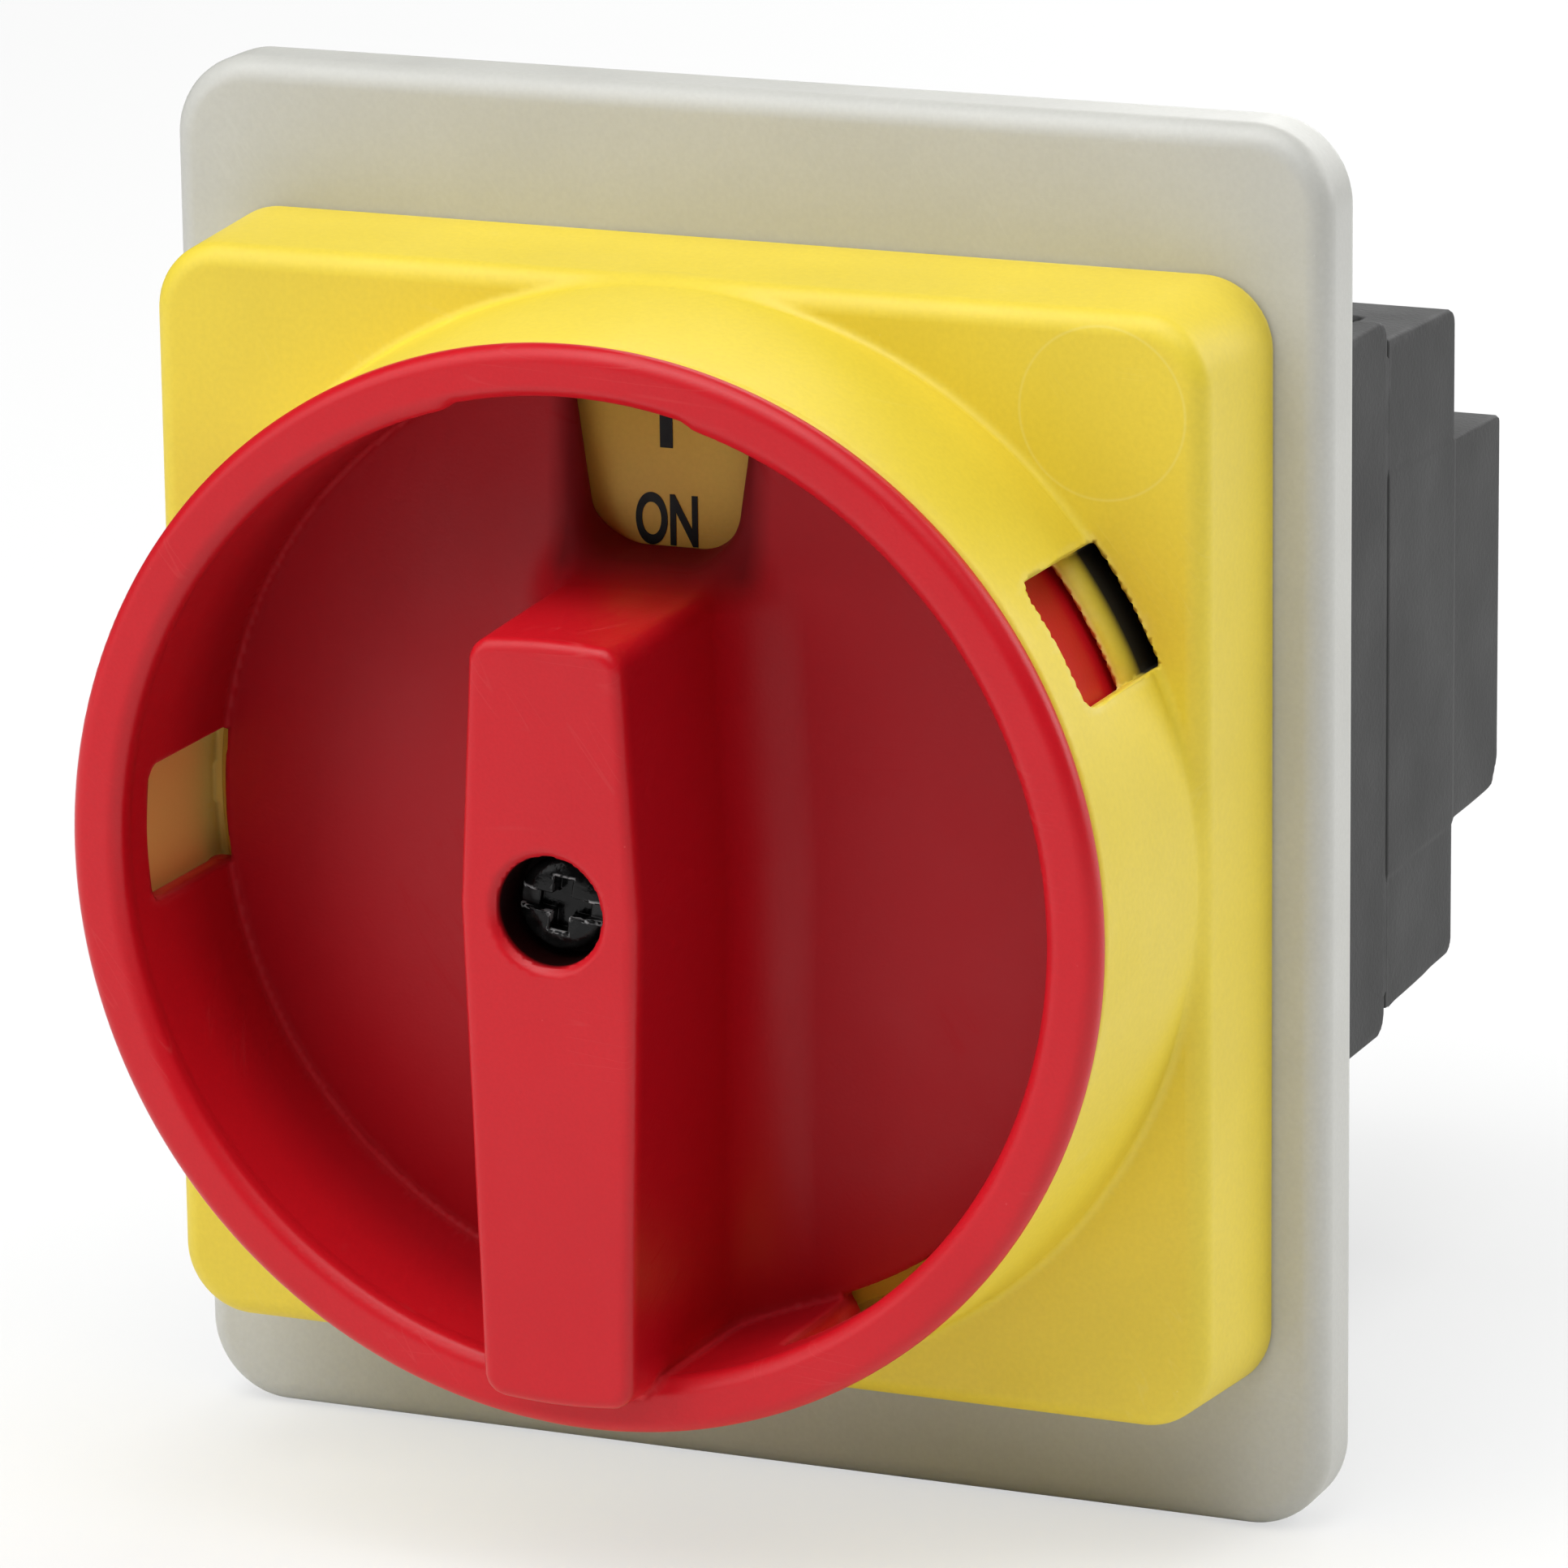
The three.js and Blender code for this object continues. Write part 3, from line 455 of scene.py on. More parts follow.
def shade(colour, share):
    return tuple(channel * share for channel in colour)


def plastic(paint, colour, pale, gloss, grain, grain_depth, dust=0.5):
    """Moulded plastic: clouded colour, fine grain, paler worn edges, dust, light scratches and painted shade
    in its inside corners.
    """
    clouds = paint.ramp(paint.noise(14, 3.0), 0.35, 0.65)
    tone = paint.blend(clouds, colour, shade(colour, 0.94))
    fine = paint.ramp(paint.noise(grain, 2.0), 0.3, 0.7)
    tone = paint.blend(paint.maths("MULTIPLY", fine, 0.16), tone, shade(colour, 0.7))
    # Painted shade: inside corners are painted darker, in the same hue.
    corner_shade = paint.ramp(paint.mark("corner_shade"), 0.15, 0.9, 0, 0.3)
    tone = paint.blend(corner_shade, tone, shade(colour, 0.6))
    worn = paint.ramp(paint.mark("worn"), 0.1, 0.5)
    worn = paint.maths("MULTIPLY", worn, paint.ramp(paint.noise(3, 3.0), 0.4, 0.65, 0, 0.22))
    short, long = paint.scratches(9, 0.1, 0.6, 0.5), paint.scratches(14, 0.08, 0.63, 2.3)
    scratch = paint.maths("MAXIMUM", short, long)
    dusty = paint.ramp(paint.noise(6, 2.0), 0.5, 0.6, 0, dust)
    bits = paint.maths("MULTIPLY", paint.specks(2.2, 0.07), dusty)
    marks = paint.maths("MAXIMUM", paint.maths("MULTIPLY", scratch, 0.25 * dust), bits)
    tone = paint.blend(paint.maths("MAXIMUM", worn, marks), tone, pale)
    smudge = paint.ramp(paint.noise(8, 4.0), 0.3, 0.7, gloss - 0.04, gloss + 0.07)
    rough = paint.maths("ADD", smudge, paint.maths("MULTIPLY", scratch, 0.1))
    rough = paint.maths("ADD", rough, paint.ramp(paint.mark("corner_shade"), 0.1, 0.5, 0, 0.4))
    paint.relief(paint.maths("SUBTRACT", fine, paint.maths("MULTIPLY", scratch, 0.4)), grain_depth)
    return tone, rough


def make_reds():
    """The rim and grip's face are palest; the handle's inside, grip's sides, pocket and screw's recess get
    painted shade.
    """
    paint = Paint("handle_red")
    tone, rough = plastic(paint, (0.62, 0.0065, 0.015), (0.75, 0.16, 0.15), 0.36, 0.22, 0.004, 0.35)
    depth, out, up = paint.axis("Y"), paint.radius(), paint.axis("Z")
    aside = paint.maths("ABSOLUTE", paint.axis("X"))
    # Painted shade: the inside of the handle behind the rim and the grip's sides are painted a deeper red.
    cup_shade = paint.product(paint.ramp(depth, -24, -19), paint.ramp(out, 29.6, 29.2))
    grip_side_shade = paint.product(
        paint.ramp(depth, GRIP_FRONT + 0.3, GRIP_FRONT + 1.3), paint.ramp(out, 28.6, 27),
        paint.ramp(aside, 4.2, 4.8),
    )
    tone = paint.blend(paint.maths("MAXIMUM", cup_shade, grip_side_shade), tone, (0.43, 0.002, 0.009))
    # Painted shade: the pocket behind the window is painted a near-black red.
    pocket = paint.product(
        paint.ramp(depth, -21, -17), paint.ramp(up, 14.5, 16.5),
        paint.ramp(aside, POCKET_HALF + 1, POCKET_HALF - 0.4),
    )
    tone = paint.blend(pocket, tone, (0.2, 0.001, 0.004))
    # Painted shade: the wall of the screw's recess is painted near black.
    recess = paint.product(
        paint.ramp(depth, GRIP_FRONT + 0.3, GRIP_FRONT + 0.9),
        paint.ramp(out, RECESS_RADIUS + 0.3, RECESS_RADIUS + 0.1),
    )
    tone = paint.blend(recess, tone, (0.012, 0.0005, 0.0005))
    rough = paint.maths("ADD", rough, paint.maths("MULTIPLY", cup_shade, 0.12))
    rough = paint.maths("ADD", rough, paint.maths("MULTIPLY", pocket, 0.3))
    paint.finish(tone, rough, ior=1.4)


def make_yellows():
    paint = Paint("escutcheon_yellow")
    tone, rough = plastic(paint, (0.87, 0.68, 0.052), (0.90, 0.80, 0.35), 0.46, 0.35, 0.004, 0.3)
    depth, out = paint.axis("Y"), paint.radius()
    ring = paint.maths("ABSOLUTE", paint.maths("SUBTRACT", paint.radius(EJECTOR_MARK), EJECTOR_RADIUS))
    ring = paint.product(paint.ramp(ring, 0.12, 0.02, 0, 0.22), paint.ramp(depth, -14.4, -14.6))
    tone = paint.blend(ring, tone, (0.88, 0.80, 0.30))
    # Painted light: the collar's inner wall is painted brighter, standing in for light that reaches it.
    bore_light = paint.product(paint.ramp(out, 31.0, 30.8), paint.ramp(depth, COLLAR_TIP + 1, COLLAR_TIP + 2))
    tone = paint.blend(bore_light, tone, (1.0, 0.76, 0.2))
    # Painted shade: the deep gaps beside the shut-off ledges and behind the collar are painted near black.
    ledge_gap_shade = paint.product(
        paint.ramp(depth, -16.3, -14.9), paint.ramp(out, 30.8, 31.0), paint.ramp(out, 32.2, 32.0),
    )
    behind = paint.product(
        paint.ramp(depth, -14.1, -13.9), paint.ramp(out, 31.0, 31.2), paint.ramp(out, 32.5, 32.3),
    )
    tone = paint.blend(paint.maths("MAXIMUM", ledge_gap_shade, behind), tone, (0.012, 0.009, 0.003))
    paint.finish(tone, rough)
    paint = Paint("dial_yellow")
    tone, rough = plastic(paint, (0.76, 0.54, 0.085), (0.85, 0.75, 0.4), 0.5, 0.3, 0.003, 0.2)
    paint.finish(tone, rough, ior=1.4)


def make_greys():
    paint = Paint("cover_grey")
    tone, rough = plastic(paint, (0.60, 0.60, 0.56), (0.74, 0.75, 0.73), 0.38, 0.3, 0.003, 0.3)
    paint.finish(tone, rough)
    paint = Paint("inner_white")
    tone, rough = plastic(paint, (0.72, 0.71, 0.67), (0.85, 0.85, 0.82), 0.45, 0.3, 0.003, 0.2)
    paint.finish(tone, rough)


def make_blacks():
    paint = Paint("housing_black")
    tone, rough = plastic(paint, (0.024, 0.024, 0.024), (0.13, 0.13, 0.13), 0.6, 0.3, 0.012, 0.8)
    paint.finish(tone, rough, ior=1.46)
    paint = Paint("carriage_black")
    tone, rough = plastic(paint, (0.03, 0.03, 0.032), (0.12, 0.12, 0.12), 0.5, 0.3, 0.006)
    paint.finish(tone, rough)
    paint = Paint("seal_rubber")
    tone, rough = plastic(paint, (0.025, 0.025, 0.026), (0.1, 0.1, 0.1), 0.75, 0.4, 0.012)
    paint.finish(tone, rough)
    paint = Paint("ink")
    thin = paint.ramp(paint.noise(0.5, 3.0), 0.4, 0.7)
    tone = paint.blend(thin, (0.003, 0.003, 0.003), (0.008, 0.008, 0.007))
    paint.finish(tone, paint.ramp(paint.noise(1.0, 2.0), 0.3, 0.7, 0.35, 0.5), ior=1.3)
    paint = Paint("screw_black")
    patches = paint.ramp(paint.noise(0.6, 3.0), 0.4, 0.65)
    tone = paint.blend(patches, (0.003, 0.003, 0.003), (0.008, 0.008, 0.008))
    # Partly rubbed finish, partly painted highlight: the head's broken edges are painted pale grey.
    broken = paint.ramp(paint.noise(0.8, 2.0), 0.46, 0.52)
    edges = paint.product(paint.ramp(paint.mark("worn"), 0.72, 0.9), broken)
    tone = paint.blend(edges, tone, (0.45, 0.45, 0.45))
    # The slot's floor is painted a lighter grey. Painted shade: the deep cross is painted near black.
    slot = paint.product(paint.ramp(paint.axis("Y"), 0.6, 0.7), paint.ramp(paint.radius(), 1.6, 1.7))
    tone = paint.blend(slot, tone, (0.026, 0.026, 0.026))
    cross = paint.product(paint.ramp(paint.axis("Y"), 0.3, 0.8), paint.ramp(paint.radius(), 1.75, 1.65))
    tone = paint.blend(cross, tone, (0.0005, 0.0005, 0.0005))
    paint.relief(patches, 0.01)
    paint.finish(tone, paint.ramp(patches, 0, 1, 0.12, 0.25), ior=1.3)


def metal(name, colour, dull, gloss, metallic=1.0):
    """Worked metal with drawn streaks, dull patches and rubbed edges."""
    paint = Paint(name)
    patches = paint.ramp(paint.noise(2.5, 4.0), 0.4, 0.65)
    tone = paint.blend(patches, colour, dull)
    streaks = paint.ramp(paint.noise(1, 2.0, (6, 0.4, 6)), 0.3, 0.7)
    rough = paint.ramp(patches, 0, 1, gloss, gloss + 0.15)
    rough = paint.maths("ADD", rough, paint.maths("MULTIPLY", streaks, 0.08))
    worn = paint.ramp(paint.mark("worn"), 0.1, 0.5, 0, 0.5)
    tone = paint.blend(worn, tone, tuple(min(1, 1.3 * c + 0.05) for c in colour))
    paint.relief(streaks, 0.004)
    paint.finish(tone, rough, metallic)


def make_finishes():
    make_reds()
    make_yellows()
    make_greys()
    make_blacks()
    metal("plated_steel", (0.56, 0.56, 0.55), (0.42, 0.41, 0.38), 0.25)
    metal("copper", (0.72, 0.36, 0.22), (0.45, 0.22, 0.14), 0.28)
    metal("brass", (0.70, 0.53, 0.22), (0.50, 0.37, 0.16), 0.26)


def finish_cad_nodes():
    """Every CAD node that still shows gets its slot's material."""
    for row in frame["record"]["subparts"]:
        node = frame["nodes"][row["node"]]
        if not node.hide_render:
            for holder in node.material_slots:
                holder.material = FINISH[row["material_slot"]]


# ---------------------------------------------------------------- handle


def grip_half_width(z):
    """The grip is widest near its middle and runs straight to both ends."""
    end = np.where(z > 0, GRIP_TOP, GRIP_BOTTOM)
    return GRIP_WAIST + (GRIP_TIP - GRIP_WAIST) * np.clip(z / end, 0, 1.1)


def grip_shape(x, y, z):
    depth = y - GRIP_FRONT
    side = np.abs(x) - grip_half_width(z) - GRIP_DRAFT * depth
    bow = GRIP_BOW * (x / GRIP_TIP) ** 2
    ends = between(z, GRIP_BOTTOM + bow - GRIP_DRAFT * depth, GRIP_TOP - bow + GRIP_DRAFT * depth)
    outline = both(side, ends, 1.2)
    return both(outline, between(y, GRIP_FRONT, FLOOR_BACK), 0.7)


def handle_shape(x, y, z):
    r = np.hypot(x, z)
    crown = FLOOR_FRONT - FLOOR_CROWN * (1 - np.minimum(r / BORE, 1) ** 2)
    disc = both(r - WALL_RADIUS, between(y, crown, FLOOR_BACK), 0.3)
    wall = both(between(r, BORE, WALL_RADIUS), between(y, RIM_FRONT + 0.5, FLOOR_BACK), 0.3)
    rim = both(between(r, BORE, RIM_RADIUS), between(y, RIM_FRONT, RIM_BACK), 0.95)
    grip = both(grip_shape(x, y, z), r - WALL_RADIUS, 0.4)
    foot = either(disc, grip, FOOT_FILLET)
    body = either(either(foot, wall, 0.25), rim, 0.3)
    body = either(body, round_bar(x, y, z, HUB_RADIUS, FLOOR_BACK - 1, HUB_BACK, edge=0.4))
    body = either(body, round_bar(x, y, z, NOSE_RADIUS, HUB_BACK - 1, NOSE_BACK, edge=0.4))
    deep = np.clip((FLOOR_BACK - y) / (FLOOR_BACK - POCKET_FRONT), 0, 1.0)
    half = WINDOW_HALF + WINDOW_TAPER * (z - WINDOW_MIDDLE) + (POCKET_HALF - WINDOW_HALF) * deep
    bottom = WINDOW_BOTTOM + (POCKET_BOTTOM - WINDOW_BOTTOM) * deep
    pocket = both(both(np.abs(x) - half, bottom - z, WINDOW_CORNER), r - BORE, 0.3)
    body = without(body, pocket, POCKET_EDGE)
    for angle in HANDLE_SLOT["angles"]:
        out, side = turned_to(x, z, angle)
        through = between(y, HANDLE_SLOT["front"], FLOOR_BACK + 2)
        hole = both(np.abs(side) - HANDLE_SLOT["half"], through, 0.9)
        body = without(body, both(hole, np.maximum(BORE - 0.1 - r, -out)), 0.2)
    recess = r - RECESS_RADIUS - np.maximum(0, RECESS_CHAMFER - (y - GRIP_FRONT))
    body = without(body, both(recess, y - RECESS_BACK), 0.15)
    body = without(body, r - SCREW_HOLE)
    socket = both(np.maximum(np.abs(x), np.abs(z)) - SOCKET_HALF, SOCKET_FRONT - y)
    return without(body, socket, 0.2)


def make_handle():
    low, high = (-RIM_RADIUS, GRIP_FRONT, -RIM_RADIUS), (RIM_RADIUS, NOSE_BACK, RIM_RADIUS)
    return fixed(moulded("handle", handle_shape, low, high), "handle_knob", "handle_red", "rotor")


# ---------------------------------------------------------------- front of panel


def cover_plate_shape(x, y, z):
    outline = rectangle(x, z, PLATE_HALF_X, PLATE_HALF_Z, PLATE_CORNER)
    body = both(both(outline, PLATE_FRONT - y, PLATE_EDGE), y - PLATE_BACK, 0.3)
    body = without(body, np.hypot(x, z) - PLATE_HOLE, 0.3)
    cord = rectangle(x, z, GASKET_MID_X, GASKET_MID_Z, GASKET_CORNER)
    groove = both(np.abs(cord) - GROOVE_HALF, GASKET_FLOOR - y)
    body = without(body, groove, 0.15)
    return without(body, np.hypot(np.abs(x) - PLATE_SCREW_X, np.abs(z) - PLATE_SCREW_Z) - PLATE_SCREW_BORE)


def escutcheon_shape(x, y, z):
    r = np.hypot(x, z)
    half = SQUARE_HALF - SQUARE_DRAFT * (SQUARE_BACK - y)
    outline = rectangle(x, z, half, half, SQUARE_CORNER)
    skin = both(both(outline, SQUARE_FRONT - y, SQUARE_EDGE), y - SQUARE_BACK, 0.25)
    skin = without(skin, both(outline + SQUARE_WALL, SQUARE_FRONT + SQUARE_WALL - y), 0.3)
    floor = both(r - (COLLAR_BORE + 1), between(y, WELL_FLOOR, WELL_FLOOR + SQUARE_WALL))
    taper = (COLLAR_BASE - COLLAR_TIP_RADIUS) / (SQUARE_FRONT - COLLAR_TIP)
    outer = r - COLLAR_TIP_RADIUS - taper * (y - COLLAR_TIP)
    collar = both(outer, between(y, COLLAR_TIP, SQUARE_FRONT + SQUARE_WALL), 0.45)
    body = either(either(skin, collar, 0.5), floor)
    body = without(body, both(r - COLLAR_BORE, y - WELL_FLOOR), 0.3)
    bosses = np.hypot(np.abs(x) - PLATE_SCREW_X, np.abs(z) - PLATE_SCREW_Z)
    body = either(body, both(bosses - BOSS_RADIUS, between(y, WELL_FLOOR + 1, SQUARE_BACK)), 0.3)
    for angle in COLLAR_SLOTS:
        out, side = turned_to(x, z, angle)
        beside = np.abs(side) - COLLAR_SLOT_HALF
        hole = both(beside, between(y, COLLAR_SLOT_FRONT, COLLAR_SLOT_BACK), 1.1)
        square_end = both(beside, between(y, COLLAR_SLOT_BACK - 2, COLLAR_SLOT_BACK))
        drop = both(both(r - SHUT_OFF[1], y - WELL_FLOOR - 4), both(beside, COLLAR_SLOT_BACK - 1 - y))
        ledge = both(r - SHUT_OFF[0], LEDGE_FRONT - y, LEDGE_ROUND)
        hole = both(np.minimum(np.minimum(hole, square_end), drop), 29 - out)
        body = without(body, without(hole, ledge), 0.12)
    body = without(body, both(bosses - BOSS_SINK_RADIUS, y - WELL_FLOOR - BOSS_SINK), 0.15)
    body = without(body, bosses - PLATE_SCREW_BORE)
    return without(body, r - DIAL_HOLE, 0.2)


def make_front():
    plate = moulded("plate", cover_plate_shape, (-PLATE_HALF_X, PLATE_FRONT, -PLATE_HALF_Z),
                    (PLATE_HALF_X, PLATE_BACK, PLATE_HALF_Z), keep=0.3)
    fixed(plate, "cover_plate", "cover_grey")
    square = moulded("yellow_square", escutcheon_shape, (-SQUARE_HALF, COLLAR_TIP, -SQUARE_HALF),
                     (SQUARE_HALF, SQUARE_BACK, SQUARE_HALF), keep=0.36)
    fixed(square, "escutcheon", "escutcheon_yellow")


# ---------------------------------------------------------------- housings behind the panel


def tie_distance(x, z):
    return np.hypot(np.abs(x) - TIE_X, np.abs(z) - TIE_Z)


def block(x, y, z, half_z, front, back, soft):
    """A layer of the body. Only its upper and lower rear edges are soft: its sides meet its neighbours'."""
    tall = both(np.abs(z) - half_z, y - back, soft)
    wide = both(tall, np.abs(x) - BODY_HALF_X, 0.25)
    return both(wide, between(y, front, back), 0.12)


def latch_shape(x, y, z):
    r = np.hypot(x, z)
    front, back = LATCH_FRONT, LATCH_BACK
    body = block(x, y, z, BODY_HALF_Z, front, back, 0.15)
    body = either(body, round_bar(x, y, z, NECK_RADIUS, NECK_FRONT, front + 1, edge=0.3), 0.2)
    body = without(body, both(rectangle(x, z, *STAR_WELL, 0.8), front + STAR_FLOOR - y))
    body = without(body, both(r - SEAL_WELL, y - SEAL_BACK))
    body = without(body, r - SHAFT_BORE)
    screws = np.hypot(np.abs(x) - PLATE_SCREW_X, np.abs(z) - PLATE_SCREW_Z) - PILOT_BORE
    body = without(body, both(screws, y - PILOT_BACK))
    return without(body, both(tie_distance(x, z) - TIE_BORE, TIE_FRONT - y))


def pole_distance(x):
    """How far a point is to the side of the nearest pole's middle."""
    return np.abs(np.abs(np.abs(x) - 2 * POLE_HALF_PITCH) - POLE_HALF_PITCH)


def cam_housing_shape(x, y, z):
    """The middle layer. A lip along each side closes its joint with the layer behind."""
    r = np.hypot(x, z)
    body = block(x, y, z, BODY_HALF_Z, CAM_FRONT, DECK_FRONT, 1.4)
    step = both(SCALLOP_FRONT - y, SHOULDER_HALF_Z - np.abs(z), 0.6)
    scallop = both(pole_distance(x) - SCALLOP_HALF, step, 0.3)
    body = without(body, scallop, 0.6)
    body = without(body, both(r - CAM_WELL, between(y, *CAM_WELL_DEPTH)))
    body = without(body, both(rectangle(x, z, *FOLLOWER_WELL, 0.5), FOLLOWER_FRONT - y))
    body = without(body, r - CAM_BORE)
    body = without(body, tie_distance(x, z) - TIE_BORE)
    inner = between(np.abs(x), BODY_HALF_X - 1, BODY_HALF_X - 0.01)
    lip = both(inner, np.abs(z) - SHOULDER_HALF_Z + 0.5)
    return np.minimum(body, both(lip, between(y, DECK_FRONT - 1, DECK_FRONT + LIP)))


def contact_housing_shape(x, y, z):
    front = DECK_FRONT + 0.1
    tall = block(x, y, z, SHOULDER_HALF_Z - SHOULDER_DRAFT * (y - SHOULDER_BACK), front, SHOULDER_BACK, 1.0)
    half_z = TOWER_HALF_Z - TOWER_DRAFT * (y - SHOULDER_BACK) + 0.15 * (z > 0)
    low = block(x, y, z, half_z, front, TOWER_BACK, 0.6)
    slant = np.maximum(z, -z + np.maximum(0, y - TOWER_SLANT_START) * TOWER_SLANT) - half_z
    low = both(low, slant, 0.3)
    body = either(tall, low, 0.3)
    beside = pole_distance(x)
    up = np.abs(z)
    for half, height, depth in POLE_ROOMS.values():
        body = without(body, both(np.maximum(beside - half, between(up, *height)), between(y, *depth)))
    wire_way = rectangle(beside, y - WIRE_WAY_Y, *WIRE_WAY_HALF, 0.5)
    body = without(body, both(wire_way, WIRE_WAY_END - up), 0.35)
    access = both(np.hypot(beside, up - TERMINAL_Z) - TERMINAL_BORE, TERMINAL_FRONT - y)
    body = without(body, access, 0.3)
    body = without(body, tie_distance(x, z) - TIE_BORE)
    return without(body, both(tie_distance(x, z) - TIE_HEAD_BORE, TIE_HEAD_FRONT - y), 0.25)


def make_body():
    for name, node, shape, step in (
        ("latch_layer", "latch_housing", latch_shape, 0.4),
        ("cam_layer", "cam_housing", cam_housing_shape, 0.32),
        ("contact_layer", "contact_housing", contact_housing_shape, 0.3),
    ):
        low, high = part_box(node)
        piece = moulded(name, shape, low / MM, high / MM + LIP_ROOM, step, 0.35)
        fixed(piece, node, "housing_black")


def make_gasket():
    low, high = (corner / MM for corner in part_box("panel_gasket"))
    width = PLATE_HALF_X - GASKET_MID_X - GASKET_INSET

    def cord(x, y, z):
        ring = np.abs(rectangle(x, z, GASKET_MID_X, GASKET_MID_Z, GASKET_CORNER)) - width
        return both(ring, between(y, low[1], high[1]), 0.3)

    fixed(moulded("gasket_ring", cord, low, high, 0.28, 0.3), "panel_gasket", "seal_rubber")


# ---------------------------------------------------------------- dial


def revolved(name, profile, steps=120):
    """A ring around the handle's axis, from the points (radius, y) of its closed section."""
    turns = 2 * math.pi * np.arange(steps) / steps
    points = np.array([(r * math.cos(t), y, r * math.sin(t)) for t in turns for r, y in profile])
    count = len(profile)
    faces = []
    for i in range(steps):
        for j in range(count):
            here, after = i * count, (i + 1) % steps * count
            k = (j + 1) % count
            faces.append((here + j, after + j, after + k, here + k))
    return bare_mesh(name, points, np.array(faces))


def legend(name, text, box_x, box_z, weight):
    """Printed capitals that fill a box on the dial, read from the front."""
    font = bpy.data.curves.new(name, "FONT")
    font.body = text
    font.extrude = 0.5
    font.offset = weight
    font.resolution_u = 16
    holder = bpy.data.objects.new(name, font)
    bpy.context.scene.collection.objects.link(holder)
    data = bpy.data.meshes.new_from_object(holder.evaluated_get(bpy.context.evaluated_depsgraph_get()))
    bpy.data.objects.remove(holder)
    points = np.empty(len(data.vertices) * 3, np.float32)
    data.vertices.foreach_get("co", points)
    points = points.reshape(-1, 3)
    share = (points - points.min(0)) / (points.max(0) - points.min(0))
    x = box_x[0] + share[:, 0] * (box_x[1] - box_x[0])
    z = box_z[0] + share[:, 1] * (box_z[1] - box_z[0])
    y = DIAL_FRONT + INK_SUNK - share[:, 2] * (INK_SUNK + INK_PROUD)
    data.vertices.foreach_set("co", (np.stack([x, y, z], 1) * MM).astype(np.float32).ravel())
    data.update()
    piece = placed(name, data)
    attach(piece, "base")
    data.materials.append(FINISH["ink"])


def make_dial():
    outer, hole, soft = DIAL_RADIUS, DIAL_HOLE, DIAL_EDGE
    front, back = DIAL_FRONT, DIAL_BACK
    profile = [
        (hole, back - soft), (hole, front + soft), (hole + soft, front), (outer - soft, front),
        (outer, front + soft), (outer, back - soft), (outer - soft, back), (hole + soft, back),
    ]
    disc = placed("dial", revolved("dial", profile))
    fixed(disc, "dial_disc", "dial_yellow")
    legend("legend_on_symbol", "I", (-0.85, -0.05), (22.9, 27.4), 0.0)
    legend("legend_on", "ON", (-2.45, 1.45), (17.1, 20.2), 0.025)
    legend("legend_off_symbol", "O", (-25.1, -21.9), (0.6, 4.6), 0.02)
    legend("legend_off", "OFF", (-26.3, -20.7), (-3.7, -0.7), 0.02)


# ---------------------------------------------------------------- fasteners and springs


def screw_shape(head, shank, depth, length, slot_half, cross_half, cross_reach):
    """A screw whose head's face is at y = 0 and whose tip is at y = length."""

    def shape(x, y, z):
        r = np.hypot(x, z)
        dome = 0.35 * np.minimum(r / head, 1) ** 4
        cap = both(r - head, between(y, dome, depth), 0.3)
        turn = np.arctan2(z, x) / (2 * math.pi) + y / THREAD_PITCH
        ridge = THREAD_DEPTH * np.abs(2 * (turn - np.floor(turn)) - 1)
        rod = both(r - shank + ridge, between(y, depth - 0.4, length), 0.25)
        slot = both(np.abs(z) - slot_half, y - 0.75)
        cross = np.minimum(
            np.maximum(np.abs(x) - cross_half, np.abs(z) - cross_reach),
            np.maximum(np.abs(z) - cross_half, np.abs(x) - cross_reach),
        )
        body = either(cap, rod)
        return without(without(body, slot, 0.08), both(cross, y - 1.1), 0.12)

    return shape


def screw_mesh(name, shape, head, length, step):
    piece = moulded(name, shape, (-head, 0, -head), (head, length, head), step, 0.5)
    data = piece.data
    bpy.data.objects.remove(piece)
    return data


def make_screws():
    low, high = (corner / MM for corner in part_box("handle_screw"))
    length = high[1] - low[1]
    shape = screw_shape(high[0], 1.7, 2.0, length, 0.5, 0.55, 1.55)
    data = screw_mesh("handle_fixing", shape, high[0], length, 0.14)
    piece = placed("handle_fixing", data, (0, low[1], 0))
    piece.rotation_euler = (0, math.radians(SCREW_TURN), 0)
    fixed(piece, "handle_screw", "screw_black", "rotor")
    for family, shank in (("plate_screw", 1.6), ("tie_screw", 1.2)):
        make_alike([f"{family}_{i}" for i in range(1, 5)], shank)
    make_alike([f"{row}_screw_{i}" for row in ("line", "load") for i in range(1, 5)], 1.35)


def make_alike(nodes, shank):
    """One screw mesh, placed for each of these CAD nodes; the head is at the end nearer the way in."""
    low, high = (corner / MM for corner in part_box(nodes[0]))
    head, length = (high[0] - low[0]) / 2, high[1] - low[1]
    faces_back = not nodes[0].startswith("plate")
    shape = screw_shape(head, shank, 1.9, length, 0.0, 0.42, head * 0.6)
    data = screw_mesh(nodes[0] + "_form", shape, head, length, 0.2 if length < 10 else 0.28)
    data.materials.append(FINISH["plated_steel"])
    for node in nodes:
        low, high = (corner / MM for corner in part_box(node))
        middle = (low + high) / 2
        piece = placed(node + "_turned", data, (middle[0], high[1] if faces_back else low[1], middle[2]))
        if faces_back:
            piece.rotation_euler = (0, 0, math.pi)
        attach(piece, "base")
        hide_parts(node)


